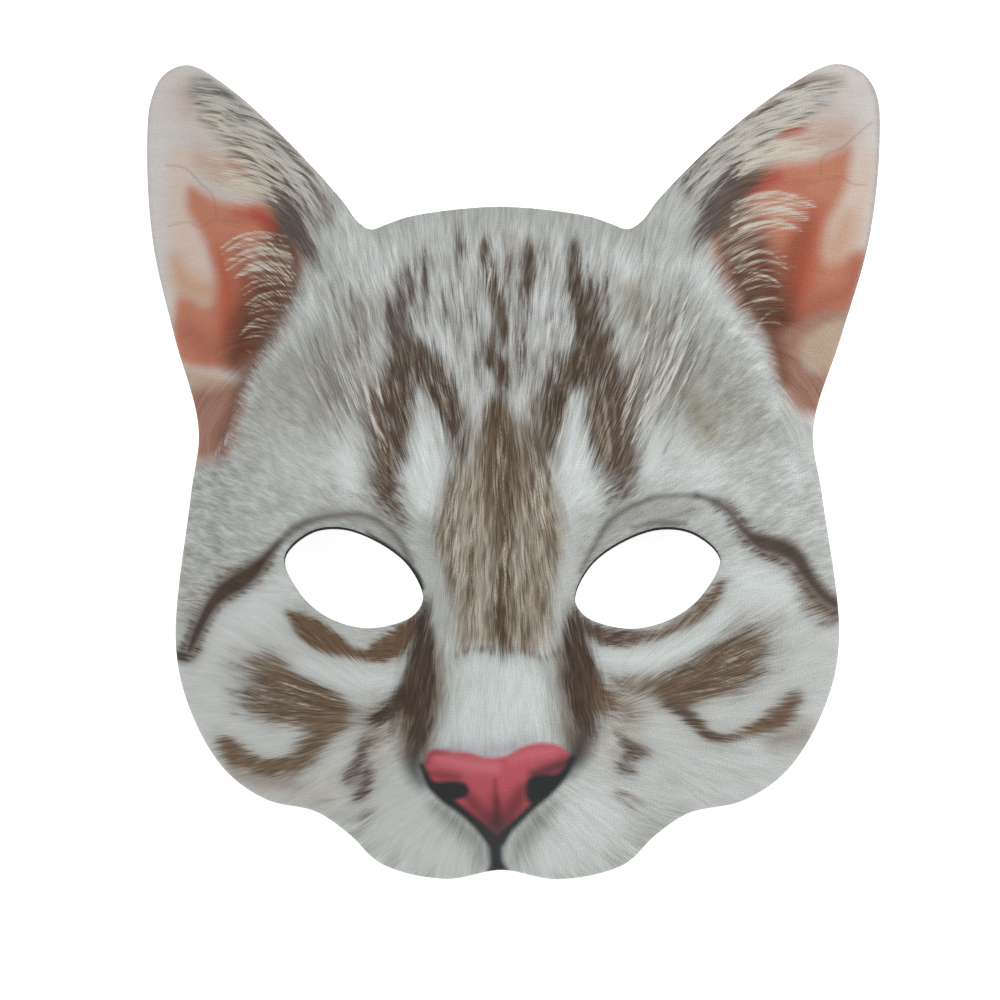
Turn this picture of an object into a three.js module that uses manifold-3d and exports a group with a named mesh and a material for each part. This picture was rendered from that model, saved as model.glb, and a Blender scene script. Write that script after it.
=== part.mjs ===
// Cat half mask: a moulded foam shell with a printed knit cloth laminated over its front.
// Millimetres, +Z up. The mask lies face up on the rims of its ears and cheeks, ears towards +Y.
import * as THREE from 'three';
import { mergeVertices } from 'three/addons/utils/BufferGeometryUtils.js';
import Module from 'manifold-3d';

const wasm = await Module();
wasm.setup();

// Walls of the laminate
const CLOTH_WALL = 1.0;
const FOAM_WALL = 2.0;
const LAMINATE_GAP = 0.3;

// The face wraps round the wearer's head on three arcs: side to side, over the crown, in under the chin
const FACE_RISE = 42;
const WRAP_RADIUS = 117;
const CROWN_RADIUS = 147;
const CROWN_START = 30;
const CHIN_RADIUS = 93;
const CHIN_START = -45;
const STEEPEST_WRAP = THREE.MathUtils.degToRad(57);

// Lying on a table it leans back on its ears, and the soft rim is pressed flat where it touches
const REST_TILT = THREE.MathUtils.degToRad(13);
const REST_LIFT = 15.2;
const REST_SHIFT = -1.8;

// Fineness of the moulded surface and of the cut edge
const WELD = 1e-4;
const SLOPE_REACH = 0.5;
const SURFACE_STEP = 6.6;
const SURFACE_MARGIN = 10;
const EDGE_STEP = 4.2;
const CUT_DEPTH = 240;

// Half of the die-cut edge, from the crown over the ear and cheek to the notch under the nose
const HALF_EDGE = [
  { at: 'crown', x: 0, y: 71.5 },
  { at: 'crown side', x: 23.6, y: 69.0 },
  { at: 'crown end', x: 30.0, y: 66.9 },
  { at: 'ear notch', x: 34.6, y: 65.4 },
  { at: 'ear foot', x: 38.4, y: 67.6 },
  { at: 'inner ear low', x: 42.6, y: 73.2 },
  { at: 'inner ear middle', x: 58.0, y: 89.3 },
  { at: 'inner ear high', x: 76.6, y: 104.9 },
  { at: 'ear point', x: 89.4, y: 111.8 },
  { at: 'ear shoulder', x: 97.0, y: 109.4 },
  { at: 'outer point', x: 100.7, y: 102.6 },
  { at: 'outer ear high', x: 101.4, y: 89.5 },
  { at: 'outer ear middle', x: 98.6, y: 63.1 },
  { at: 'outer ear low', x: 91.3, y: 36.9 },
  { at: 'ear root', x: 83.8, y: 11.5 },
  { at: 'temple', x: 86.2, y: -6.8 },
  { at: 'cheek', x: 90.8, y: -46.1 },
  { at: 'jowl', x: 87.2, y: -63.6 },
  { at: 'low jowl', x: 77.0, y: -81.1 },
  { at: 'cheek end', x: 65.0, y: -89.3 },
  { at: 'lip corner', x: 50.5, y: -92.3 },
  { at: 'pad side', x: 41.6, y: -98.2 },
  { at: 'pad low', x: 32.8, y: -106.4 },
  { at: 'pad foot', x: 15.6, y: -110.2 },
  { at: 'lip notch', x: 0, y: -107.6 },
];

// Edge of one eye hole about its own middle, x away from the nose
const EYE_X = 39.6;
const EYE_Y = -28.5;
const EYE_EDGE = [
  { at: 'outer corner', x: 19.4, y: 5.4 },
  { at: 'lid outer', x: 12.4, y: 12.3 },
  { at: 'lid top', x: 3.6, y: 13.7 },
  { at: 'lid inner', x: -6.2, y: 10.5 },
  { at: 'lid end', x: -15.0, y: 4.0 },
  { at: 'inner corner', x: -19.2, y: -5.0 },
  { at: 'tear end', x: -16.8, y: -9.7 },
  { at: 'under inner', x: -10.4, y: -12.6 },
  { at: 'under lowest', x: -2.0, y: -13.4 },
  { at: 'under outer', x: 8.0, y: -10.2 },
  { at: 'under end', x: 15.2, y: -4.0 },
];
// The foam is cut a little low in the eye holes, so that its dark edge shows under the lid
const FOAM_EYE_DROP = 0.7;

// Relief moulded on the wrap: soft swellings and hollows, each paired one repeated on the other side
const RELIEF = [
  { of: 'muzzle', x: 0, y: -90, rise: 15, across: 26, along: 20, turn: 0, paired: false },
  { of: 'nose tip', x: 0, y: -83, rise: 9, across: 10, along: 9, turn: 0, paired: false },
  { of: 'nose bridge', x: 0, y: -45, rise: 8, across: 11, along: 22, turn: 0, paired: false },
  { of: 'whisker pad', x: 18, y: -97, rise: 5, across: 11, along: 9, turn: 0, paired: true },
  { of: 'lip cleft', x: 0, y: -106, rise: -4, across: 5, along: 8, turn: 0, paired: false },
  { of: 'eye socket', x: 39, y: -27, rise: -6, across: 19, along: 12, turn: 20, paired: true },
  { of: 'brow', x: 42, y: -4, rise: 3, across: 20, along: 8, turn: 15, paired: true },
  { of: 'cheek', x: 62, y: -62, rise: 4, across: 18, along: 14, turn: 0, paired: true },
  { of: 'forehead', x: 0, y: 25, rise: 3, across: 24, along: 26, turn: 0, paired: false },
  { of: 'ear front', x: 57, y: 84, rise: 10, across: 12, along: 24, turn: -42, paired: true },
  { of: 'ear cup', x: 82, y: 66, rise: -5, across: 11, along: 26, turn: -17, paired: true },
];

// Drop of an arc of this radius at a distance from its top, straight on past its steepest slope
function arcDrop(distance, radius) {
  const reach = radius * Math.sin(STEEPEST_WRAP);
  const inside = Math.min(Math.abs(distance), reach);
  const beyond = Math.max(Math.abs(distance) - reach, 0);
  return radius - Math.sqrt(radius * radius - inside * inside) + beyond * Math.tan(STEEPEST_WRAP);
}

// Height that one swelling adds at a point of the face
function swelling(row, side, x, y) {
  const turn = THREE.MathUtils.degToRad(row.turn) * side;
  const dx = x - row.x * side;
  const dy = y - row.y;
  const u = (dx * Math.cos(turn) + dy * Math.sin(turn)) / row.across;
  const v = (dy * Math.cos(turn) - dx * Math.sin(turn)) / row.along;
  return row.rise * Math.exp(-0.5 * (u * u + v * v));
}

// Front of the mask, as a height over the face
function faceHeight(x, y) {
  let z = FACE_RISE - arcDrop(x, WRAP_RADIUS);
  z -= arcDrop(Math.max(y - CROWN_START, 0), CROWN_RADIUS);
  z -= arcDrop(Math.max(CHIN_START - y, 0), CHIN_RADIUS);
  for (const row of RELIEF) {
    z += swelling(row, 1, x, y);
    if (row.paired) z += swelling(row, -1, x, y);
  }
  return z;
}

// Upright thickness of a wall one millimetre thick, more where the face is steep
function uprightWall(x, y) {
  const slopeX = (faceHeight(x + SLOPE_REACH, y) - faceHeight(x - SLOPE_REACH, y)) / (2 * SLOPE_REACH);
  const slopeY = (faceHeight(x, y + SLOPE_REACH) - faceHeight(x, y - SLOPE_REACH)) / (2 * SLOPE_REACH);
  return Math.sqrt(1 + slopeX * slopeX + slopeY * slopeY);
}

// Smooth closed loop through the rows of a table, in steps of about EDGE_STEP
function smoothLoop(points) {
  const curve = new THREE.CatmullRomCurve3(points, true, 'centripetal');
  const count = Math.round(curve.getLength() / EDGE_STEP);
  return curve.getSpacedPoints(count).slice(0, -1).map((p) => new THREE.Vector2(p.x, p.y));
}

function faceEdge() {
  const right = HALF_EDGE.map((row) => new THREE.Vector3(row.x, row.y, 0));
  const left = HALF_EDGE.slice(1, -1).reverse().map((row) => new THREE.Vector3(-row.x, row.y, 0));
  return smoothLoop([...right, ...left].reverse());
}

function eyeEdge(side, drop) {
  const middle = new THREE.Vector3(side * EYE_X, EYE_Y - drop, 0);
  return smoothLoop(EYE_EDGE.map((row) => new THREE.Vector3(side * row.x, row.y, 0).add(middle)));
}

// From the face's own upright frame to the table
function layDown(geometry) {
  return geometry.rotateX(REST_TILT).translate(0, REST_SHIFT, REST_LIFT);
}

function solid(geometry) {
  geometry.deleteAttribute('normal');
  geometry.deleteAttribute('uv');
  const closed = mergeVertices(geometry, WELD);
  return new wasm.Manifold(new wasm.Mesh({
    numProp: 3,
    vertProperties: new Float32Array(closed.attributes.position.array),
    triVerts: new Uint32Array(closed.index.array),
  }));
}

// Moulded sheet between two depths under the front of the mask
function mouldedSheet(frontDepth, backDepth, edge) {
  const box = new THREE.Box2().setFromPoints(edge).expandByScalar(SURFACE_MARGIN);
  const size = box.getSize(new THREE.Vector2());
  const middle = box.getCenter(new THREE.Vector2());
  const columns = Math.round(size.x / SURFACE_STEP);
  const rows = Math.round(size.y / SURFACE_STEP);
  const plan = new THREE.PlaneGeometry(size.x, size.y, columns, rows).translate(middle.x, middle.y, 0);
  const at = plan.attributes.position;
  const points = [];
  for (const depth of [frontDepth, backDepth]) {
    for (let i = 0; i < at.count; i++) {
      const x = at.getX(i);
      const y = at.getY(i);
      points.push(x, y, faceHeight(x, y) - depth * uprightWall(x, y));
    }
  }
  const front = [...plan.index.array];
  const back = front.map((i) => i + at.count).reverse();
  const wide = columns + 1;
  const rim = [];
  for (let i = 0; i < columns; i++) rim.push(i);
  for (let j = 0; j < rows; j++) rim.push(j * wide + columns);
  for (let i = columns; i > 0; i--) rim.push(rows * wide + i);
  for (let j = rows; j > 0; j--) rim.push(j * wide);
  const wall = rim.flatMap((a, i) => {
    const b = rim[(i + 1) % rim.length];
    return [a, b, b + at.count, a, b + at.count, a + at.count];
  });
  const sheet = new THREE.BufferGeometry();
  sheet.setAttribute('position', new THREE.Float32BufferAttribute(points, 3));
  sheet.setIndex([...front, ...back, ...wall]);
  return solid(layDown(sheet));
}

// Upright die that cuts the outline and both eye holes
function cuttingDie(edge, eyeDrop) {
  const shape = new THREE.Shape(edge);
  shape.holes = [-1, 1].map((side) => new THREE.Path(eyeEdge(side, eyeDrop)));
  const die = new THREE.ExtrudeGeometry(shape, { depth: CUT_DEPTH, bevelEnabled: false });
  return solid(layDown(die.translate(0, 0, -CUT_DEPTH / 2)));
}

// Table under the mask
function tableBlock() {
  const block = new THREE.BoxGeometry(2 * CUT_DEPTH, 2 * CUT_DEPTH, CUT_DEPTH);
  return solid(block.translate(0, 0, -CUT_DEPTH / 2));
}

function piece(name, body, look) {
  const cut = body.getMesh();
  const geometry = new THREE.BufferGeometry();
  geometry.setAttribute('position', new THREE.BufferAttribute(cut.vertProperties, 3));
  geometry.setIndex(new THREE.BufferAttribute(cut.triVerts, 1));
  const mesh = new THREE.Mesh(geometry, new THREE.MeshStandardMaterial(look));
  mesh.name = name;
  return mesh;
}

const PRINTED_KNIT = { color: 0xb4aca4, roughness: 0.95, metalness: 0 };
const FOAM_RUBBER = { color: 0x2e2e32, roughness: 0.9, metalness: 0 };

const edge = faceEdge();
const table = tableBlock();
const foamFront = CLOTH_WALL + LAMINATE_GAP;
const cloth = mouldedSheet(0, CLOTH_WALL, edge).intersect(cuttingDie(edge, 0)).subtract(table);
const foam = mouldedSheet(foamFront, foamFront + FOAM_WALL, edge)
  .intersect(cuttingDie(edge, FOAM_EYE_DROP))
  .subtract(table);

const group = new THREE.Group();
group.name = 'cat_half_mask';
group.add(piece('face_cloth', cloth, PRINTED_KNIT));
group.add(piece('foam_shell', foam, FOAM_RUBBER));

export default group;
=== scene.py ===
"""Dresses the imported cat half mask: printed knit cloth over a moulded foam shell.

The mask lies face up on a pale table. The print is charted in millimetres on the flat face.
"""

import logging
import math
from dataclasses import dataclass, field
from enum import Enum
from typing import ClassVar

import bpy
import numpy as np
from mathutils import Matrix, Vector
from mathutils.geometry import delaunay_2d_cdt


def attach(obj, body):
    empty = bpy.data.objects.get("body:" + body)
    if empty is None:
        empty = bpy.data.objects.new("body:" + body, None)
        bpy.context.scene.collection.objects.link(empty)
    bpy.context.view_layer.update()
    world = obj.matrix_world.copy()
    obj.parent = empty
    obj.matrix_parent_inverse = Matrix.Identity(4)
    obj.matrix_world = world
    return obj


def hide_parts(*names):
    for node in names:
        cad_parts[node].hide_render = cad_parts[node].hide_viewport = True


LOG = logging.getLogger("cat_half_mask")
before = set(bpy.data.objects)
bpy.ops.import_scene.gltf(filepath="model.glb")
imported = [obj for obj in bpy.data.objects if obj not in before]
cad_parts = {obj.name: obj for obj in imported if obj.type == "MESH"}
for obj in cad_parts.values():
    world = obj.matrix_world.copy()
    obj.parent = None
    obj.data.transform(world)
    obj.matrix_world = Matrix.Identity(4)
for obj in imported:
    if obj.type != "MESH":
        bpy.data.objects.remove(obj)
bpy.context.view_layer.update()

MM = 0.001
TINY = 1e-6
PLAN_MAP = "print"
MATH = "ShaderNodeMath"
VECTOR_MATH = "ShaderNodeVectorMath"
ATTRIBUTE = "ShaderNodeAttribute"
Point = tuple[float, float]
Row = tuple[float, float, float]
Points = tuple[Point, ...]
Path = tuple[Row, ...]


class Side(Enum):
    """The two sides of the face, as the viewer sees them."""

    LEFT = -1
    RIGHT = 1


def linear(code: str) -> tuple[float, float, float]:
    """Turn an sRGB hex colour into linear values.

    Args:
        code: Colour such as "#B4B7B3".

    Returns:
        Linear red, green and blue.
    """
    parts = [int(code[i : i + 2], 16) / 255 for i in (1, 3, 5)]
    return tuple(c / 12.92 if c <= 0.04045 else ((c + 0.055) / 1.055) ** 2.4 for c in parts)


def smooth_step(value: np.ndarray) -> np.ndarray:
    """Ease a value from 0 to 1, held at both ends."""
    held = np.clip(value, 0.0, 1.0)
    return held * held * (3 - 2 * held)


def smooth_rows(rows: np.ndarray, closed: bool, fine: int = 5) -> np.ndarray:
    """Run a centripetal Catmull-Rom curve through rows of x, y and what else they hold.

    Args:
        rows: One row for each point.
        closed: True for a loop.
        fine: Steps from one point to the next.

    Returns:
        The finer rows, without a second copy of a loop's start.
    """
    if closed:
        before, start, after, last = np.roll(rows, 1, 0), rows, np.roll(rows, -1, 0), np.roll(rows, -2, 0)
    else:
        long = np.vstack([2 * rows[0] - rows[1], rows, 2 * rows[-1] - rows[-2]])
        before, start, after, last = long[:-3], long[1:-2], long[2:-1], long[3:]
    d0, d1, d2 = (
        np.sqrt(np.linalg.norm((b - a)[:, :2], axis=1))[:, None]
        for a, b in ((before, start), (start, after), (after, last))
    )
    m1 = ((start - before) / d0 - (after - before) / (d0 + d1) + (after - start) / d1) * d1
    m2 = ((after - start) / d1 - (last - start) / (d1 + d2) + (last - after) / d2) * d1
    t = np.linspace(0, 1, fine, endpoint=False)[None, :, None]
    start, after, m1, m2 = (a[:, None, :] for a in (start, after, m1, m2))
    square = 3 * (after - start) - 2 * m1 - m2
    cube = 2 * (start - after) + m1 + m2
    curve = (start + m1 * t + square * t**2 + cube * t**3).reshape(-1, rows.shape[1])
    return curve if closed else np.vstack([curve, rows[-1:]])


def add_node(
    tree: bpy.types.NodeTree, kind: str, inputs: dict[str | int, object] | None = None, **settings: object
) -> bpy.types.Node:
    """Add one node with its settings, its values and its links.

    Args:
        tree: Node tree that takes the node.
        kind: Blender's type name of the node.
        inputs: Socket name or index to a value, or to a socket that is linked to it.
        **settings: Properties of the node itself.

    Returns:
        The new node.
    """
    made = tree.nodes.new(kind)
    for name, value in settings.items():
        setattr(made, name, value)
    for name, value in (inputs or {}).items():
        if isinstance(value, bpy.types.NodeSocket):
            tree.links.new(value, made.inputs[name])
        else:
            made.inputs[name].default_value = value
    return made


def blank_material(name: str) -> tuple[bpy.types.Material, bpy.types.NodeTree]:
    """Make a material with no nodes yet.

    Args:
        name: Name of the real material.

    Returns:
        The material and its node tree.
    """
    made = bpy.data.materials.new(name)
    made.use_nodes = True
    made.node_tree.nodes.clear()
    return made, made.node_tree


@dataclass(frozen=True)
class Swelling:
    """One soft rise or hollow of the moulded face, in millimetres and degrees."""

    of: str
    x: float
    y: float
    rise: float
    across: float
    along: float
    turn: float = 0.0
    paired: bool = False

    def height(self, x: np.ndarray, y: np.ndarray) -> np.ndarray:
        """Give the height that the swelling adds.

        Args:
            x: Places across the face.
            y: Places up the face.

        Returns:
            Added heights.
        """
        total = np.zeros_like(x)
        for side in Side if self.paired else (Side.RIGHT,):
            turn = math.radians(self.turn) * side.value
            dx, dy = x - self.x * side.value, y - self.y
            u = (dx * math.cos(turn) + dy * math.sin(turn)) / self.across
            v = (dy * math.cos(turn) - dx * math.sin(turn)) / self.along
            total += self.rise * np.exp(-0.5 * (u * u + v * v))
        return total


@dataclass(frozen=True)
class FaceForm:
    """The moulded front of the mask as a height over the face, and how it lies on the floor.

    Its sizes are those of the solids, in millimetres.
    """

    face_rise: float = 42.0
    wrap_radius: float = 117.0
    crown_radius: float = 147.0
    crown_start: float = 30.0
    chin_radius: float = 93.0
    chin_start: float = -45.0
    steepest_wrap: float = math.radians(57)
    rest_tilt: float = math.radians(13)
    rest_lift: float = 15.2
    rest_shift: float = -1.8
    slope_reach: float = 0.5
    relief: tuple[Swelling, ...] = (
        Swelling("muzzle", 0, -90, 15, 26, 20),
        Swelling("nose tip", 0, -83, 9, 10, 9),
        Swelling("nose bridge", 0, -45, 8, 11, 22),
        Swelling("whisker pad", 18, -97, 5, 11, 9, 0, True),
        Swelling("lip cleft", 0, -106, -4, 5, 8),
        Swelling("eye socket", 39, -27, -6, 19, 12, 20, True),
        Swelling("brow", 42, -4, 3, 20, 8, 15, True),
        Swelling("cheek", 62, -62, 4, 18, 14, 0, True),
        Swelling("forehead", 0, 25, 3, 24, 26),
        Swelling("ear front", 57, 84, 10, 12, 24, -42, True),
        Swelling("ear cup", 82, 66, -5, 11, 26, -17, True),
    )

    def arc_drop(self, distance: np.ndarray, radius: float) -> np.ndarray:
        """Give the drop of an arc, straight on past its steepest slope.

        Args:
            distance: Distances from the arc's top.
            radius: Radius of the arc.

        Returns:
            Drops below the top.
        """
        reach = radius * math.sin(self.steepest_wrap)
        inside = np.minimum(np.abs(distance), reach)
        beyond = np.maximum(np.abs(distance) - reach, 0)
        return radius - np.sqrt(radius**2 - inside**2) + beyond * math.tan(self.steepest_wrap)

    def height(self, x: np.ndarray, y: np.ndarray) -> np.ndarray:
        """Give the height of the mask's front.

        Args:
            x: Places across the face.
            y: Places up the face.

        Returns:
            Heights in millimetres.
        """
        z = self.face_rise - self.arc_drop(x, self.wrap_radius)
        z = z - self.arc_drop(np.maximum(y - self.crown_start, 0), self.crown_radius)
        z = z - self.arc_drop(np.maximum(self.chin_start - y, 0), self.chin_radius)
        return z + sum(swelling.height(x, y) for swelling in self.relief)

    def upright_wall(self, x: np.ndarray, y: np.ndarray) -> np.ndarray:
        """Give the upright thickness of a wall one millimetre thick.

        Args:
            x: Places across the face.
            y: Places up the face.

        Returns:
            Thicknesses, 1 where the face is level and more where it is steep.
        """
        e = self.slope_reach
        slope_x = (self.height(x + e, y) - self.height(x - e, y)) / (2 * e)
        slope_y = (self.height(x, y + e) - self.height(x, y - e)) / (2 * e)
        return np.sqrt(1 + slope_x**2 + slope_y**2)

    def laid_down(self) -> Matrix:
        """Give the matrix from the face's own frame, in millimetres, to the row frame, in metres."""
        place = Matrix.Translation(Vector((0, self.rest_shift, self.rest_lift)) * MM)
        return place @ Matrix.Rotation(self.rest_tilt, 4, "X") @ Matrix.Scale(MM, 4)


@dataclass(frozen=True)
class CutEdges:
    """The die-cut outline and eye holes, as loops with the material on their left."""

    half_edge: Points = (
        (0, 71.5), (23.6, 69.0), (30.0, 66.9), (34.6, 65.4), (38.4, 67.6), (42.6, 73.2), (58.0, 89.3),
        (76.6, 104.9), (89.4, 111.8), (97.0, 109.4), (100.7, 102.6), (101.4, 89.5), (98.6, 63.1),
        (91.3, 36.9), (83.8, 11.5), (86.2, -6.8), (90.8, -46.1), (87.2, -63.6), (77.0, -81.1),
        (65.0, -89.3), (50.5, -92.3), (41.6, -98.2), (32.8, -106.4), (15.6, -110.2), (0, -107.6),
    )
    eye_middle: tuple[float, float] = (39.6, -28.5)
    eye_edge: Points = (
        (19.4, 5.4), (12.4, 12.3), (3.6, 13.7), (-6.2, 10.5), (-15.0, 4.0), (-19.2, -5.0), (-16.8, -9.7),
        (-10.4, -12.6), (-2.0, -13.4), (8.0, -10.2), (15.2, -4.0),
    )
    fine: int = 40

    def smooth_loop(self, rows: np.ndarray, step: float) -> np.ndarray:
        """Run a smooth closed curve through the rows.

        Args:
            rows: Points of the loop, one row each.
            step: Distance between the points that come back.

        Returns:
            Evenly spaced points, one row each.
        """
        curve = smooth_rows(rows, True, self.fine)
        closed = np.vstack([curve, curve[:1]])
        length = np.concatenate([[0], np.cumsum(np.linalg.norm(np.diff(closed, axis=0), axis=1))])
        at = np.linspace(0, length[-1], round(length[-1] / step), endpoint=False)
        return np.stack([np.interp(at, length, closed[:, k]) for k in (0, 1)], 1)

    def loops(self, step: float, eye_drop: float = 0.0) -> list[np.ndarray]:
        """Give the outline and both eye holes.

        Args:
            step: Distance between points.
            eye_drop: How much lower than the cloth's the eye holes are cut.

        Returns:
            Three loops of points.
        """
        right = np.array(self.half_edge)
        left = right[-2:0:-1] * (-1, 1)
        outline = self.smooth_loop(np.vstack([right, left]), step)[::-1]
        hole = np.array(self.eye_edge) + self.eye_middle - (0, eye_drop)
        return [outline, self.smooth_loop(hole, step)[::-1], self.smooth_loop(hole * (-1, 1), step)]


@dataclass(frozen=True)
class Skin:
    """A flat plan of triangles inside the cut edges, with its points' distance from the edge."""

    plan: np.ndarray
    from_edge: np.ndarray
    faces: list[tuple[int, ...]]
    rims: list[np.ndarray]


def inset(loop: np.ndarray, distance: float) -> np.ndarray:
    """Move a loop into the material on its left.

    Args:
        loop: Points of the loop.
        distance: How far it moves.

    Returns:
        The moved points.
    """
    along = np.roll(loop, -1, 0) - np.roll(loop, 1, 0)
    along /= np.linalg.norm(along, axis=1)[:, None]
    return loop + distance * np.stack([-along[:, 1], along[:, 0]], 1)


def inside(loops: list[np.ndarray], points: np.ndarray) -> np.ndarray:
    """Tell which points the loops enclose.

    Args:
        loops: Closed loops, holes among them.
        points: Points in rows of equal y.

    Returns:
        True for each enclosed point.
    """
    start = np.vstack(loops)
    end = np.vstack([np.roll(loop, -1, 0) for loop in loops])
    kept = np.zeros(len(points), bool)
    levels, row_of = np.unique(points[:, 1], return_inverse=True)
    order = np.argsort(row_of, kind="stable")
    splits = np.split(order, np.cumsum(np.bincount(row_of))[:-1])
    for level, members in zip(levels, splits):
        crossing = (start[:, 1] > level) != (end[:, 1] > level)
        a, b = start[crossing], end[crossing]
        cuts = np.sort(a[:, 0] + (level - a[:, 1]) / (b[:, 1] - a[:, 1]) * (b[:, 0] - a[:, 0]))
        kept[members] = np.searchsorted(cuts, points[members, 0]) % 2 == 1
    return kept


# Gaps from the rings to the net and round a fine zone, as shares of the spacing, for well shaped triangles.
NET_GAP = 0.45
ZONE_GAP = 0.3
# Rings along a rounded edge, as shares of its radius, and the bend past which an edge stays sharp.
ROUND_RINGS = (0.0, 0.12, 0.4, 1.05)
SHARP_BEND = math.radians(50)


def even_net(loops: list[np.ndarray], spacing: float) -> np.ndarray:
    """Give the points of an even three-way net inside loops.

    Args:
        loops: The outline and what holes it has.
        spacing: Distance between points of the net.

    Returns:
        The points, one row each.
    """
    low, high = loops[0].min(0), loops[0].max(0)
    ys = np.arange(low[1], high[1], spacing * math.sqrt(3) / 2)
    xs = np.arange(low[0] - spacing, high[0] + spacing, spacing)
    net_x = xs[None, :] + np.where(np.arange(len(ys)) % 2, spacing / 2, 0)[:, None]
    net = np.stack([net_x.ravel(), np.repeat(ys, len(xs))], 1)
    return net[inside(loops, net)]


def cut_skin(
    loops: list[np.ndarray],
    spacing: float,
    rings: tuple[float, ...],
    zones: tuple[np.ndarray, ...] = (),
    fine_spacing: float = 0.5,
) -> Skin:
    """Fill the cut edges with triangles, in rings along the edge and even nets inside.

    Args:
        loops: The outline and the eye holes.
        spacing: Distance between points of the net.
        rings: Distances from the edge of the rings, the edge itself first.
        zones: Loops in which the net is finer.
        fine_spacing: Distance between points of the finer net.

    Returns:
        The plan.
    """
    plan, from_edge, faces, rims = [], [], [], []
    count = 0
    fence = []
    for loop in loops:
        n = len(loop)
        ring_ids = [count + k * n + np.arange(n) for k in range(len(rings))]
        for distance in rings:
            plan.append(inset(loop, distance))
            from_edge.append(np.full(n, distance))
        for outer, inner in zip(ring_ids, ring_ids[1:]):
            quads = np.stack([outer, np.roll(outer, -1), np.roll(inner, -1), inner], 1)
            faces += [tuple(quad) for quad in quads.tolist()]
        rims.append(ring_ids[0])
        fence.append(ring_ids[-1])
        count += n * len(rings)
    bounds = [inset(loop, rings[-1] + NET_GAP * spacing) for loop in loops]
    net = even_net(bounds, spacing)
    for zone in zones:
        net = net[~inside([inset(zone, -ZONE_GAP * spacing)], net)]
    fine = [even_net([zone], fine_spacing) for zone in zones]
    net = np.vstack([net] + [points[inside(bounds, points)] for points in fine])
    all_points = np.vstack(plan + [net])
    known = np.concatenate([np.concatenate(fence), count + np.arange(len(net))])
    place = np.full(len(all_points), -1)
    place[known] = np.arange(len(known))
    edges = [(int(place[a]), int(place[b])) for ring in fence for a, b in zip(ring, np.roll(ring, -1))]
    flat = [Vector(p) for p in all_points[known].tolist()]
    _, _, triangles, origins, _, _ = delaunay_2d_cdt(flat, edges, [], 0, TINY)
    back = np.array([o[0] if o else -1 for o in origins])
    made = known[back[np.array([t for t in triangles if len(t) == 3])]]
    on_rim = (made < count).all(axis=1)
    middles = all_points[made[on_rim]].mean(axis=1)
    fences = [all_points[ring] for ring in fence]
    kept = np.ones(len(made), bool)
    kept[np.where(on_rim)[0]] = inside(fences, middles)
    faces += [tuple(t) for t in made[kept].tolist()]
    distance = np.concatenate(from_edge + [np.full(len(net), rings[-1] + spacing)])
    return Skin(all_points, distance, faces, rims)


@dataclass(frozen=True)
class SheetCut:
    """Depths and fineness of one sheet of the laminate, in millimetres."""

    front: float
    back: float
    edge_step: float
    front_spacing: float
    back_spacing: float
    edge_round: float
    eye_drop: float = 0.0
    fine_zones: tuple[Points, ...] = ()
    fine_spacing: float = 0.5


def sheet_mesh(
    name: str, cut: SheetCut, form: FaceForm, edges: CutEdges
) -> tuple[bpy.types.Mesh, np.ndarray]:
    """Make one closed sheet of the laminate.

    Args:
        name: Name of the mesh.
        cut: The sheet's depths and fineness.
        form: The moulded face.
        edges: The cut edges.

    Returns:
        The mesh in the row frame, and its points on the flat face.
    """
    loops = edges.loops(cut.edge_step, cut.eye_drop)
    r = cut.edge_round
    zones = tuple(np.array(zone, float) for zone in cut.fine_zones)
    rings = tuple(share * r for share in ROUND_RINGS)
    front = cut_skin(loops, cut.front_spacing, rings, zones, cut.fine_spacing)
    back = cut_skin(loops, cut.back_spacing, (0.0,))
    wall = form.upright_wall(*front.plan.T)
    near = np.clip(r - front.from_edge, 0, r)
    rounding = r - np.sqrt(r * r - near * near)
    top = form.height(*front.plan.T) - (cut.front + rounding) * wall
    base = form.height(*back.plan.T) - cut.back * form.upright_wall(*back.plan.T)
    plan = np.vstack([front.plan, back.plan])
    points = np.column_stack([plan, np.concatenate([top, base]), np.ones(len(plan))])
    laid = (points @ np.array(form.laid_down()).T)[:, :3]
    laid[:, 2] = np.maximum(laid[:, 2], 0)
    n = len(front.plan)
    faces = list(front.faces) + [tuple(i + n for i in reversed(f)) for f in back.faces]
    for a, b in zip(front.rims, back.rims):
        b = b + n
        quads = np.stack([a, b, np.roll(b, -1), np.roll(a, -1)], 1)
        faces += [tuple(quad) for quad in quads.tolist()]
    mesh = bpy.data.meshes.new(name)
    mesh.from_pydata(laid.tolist(), [], faces)
    mesh.shade_smooth()
    mesh.set_sharp_from_angle(angle=SHARP_BEND)
    return mesh, plan


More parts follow.
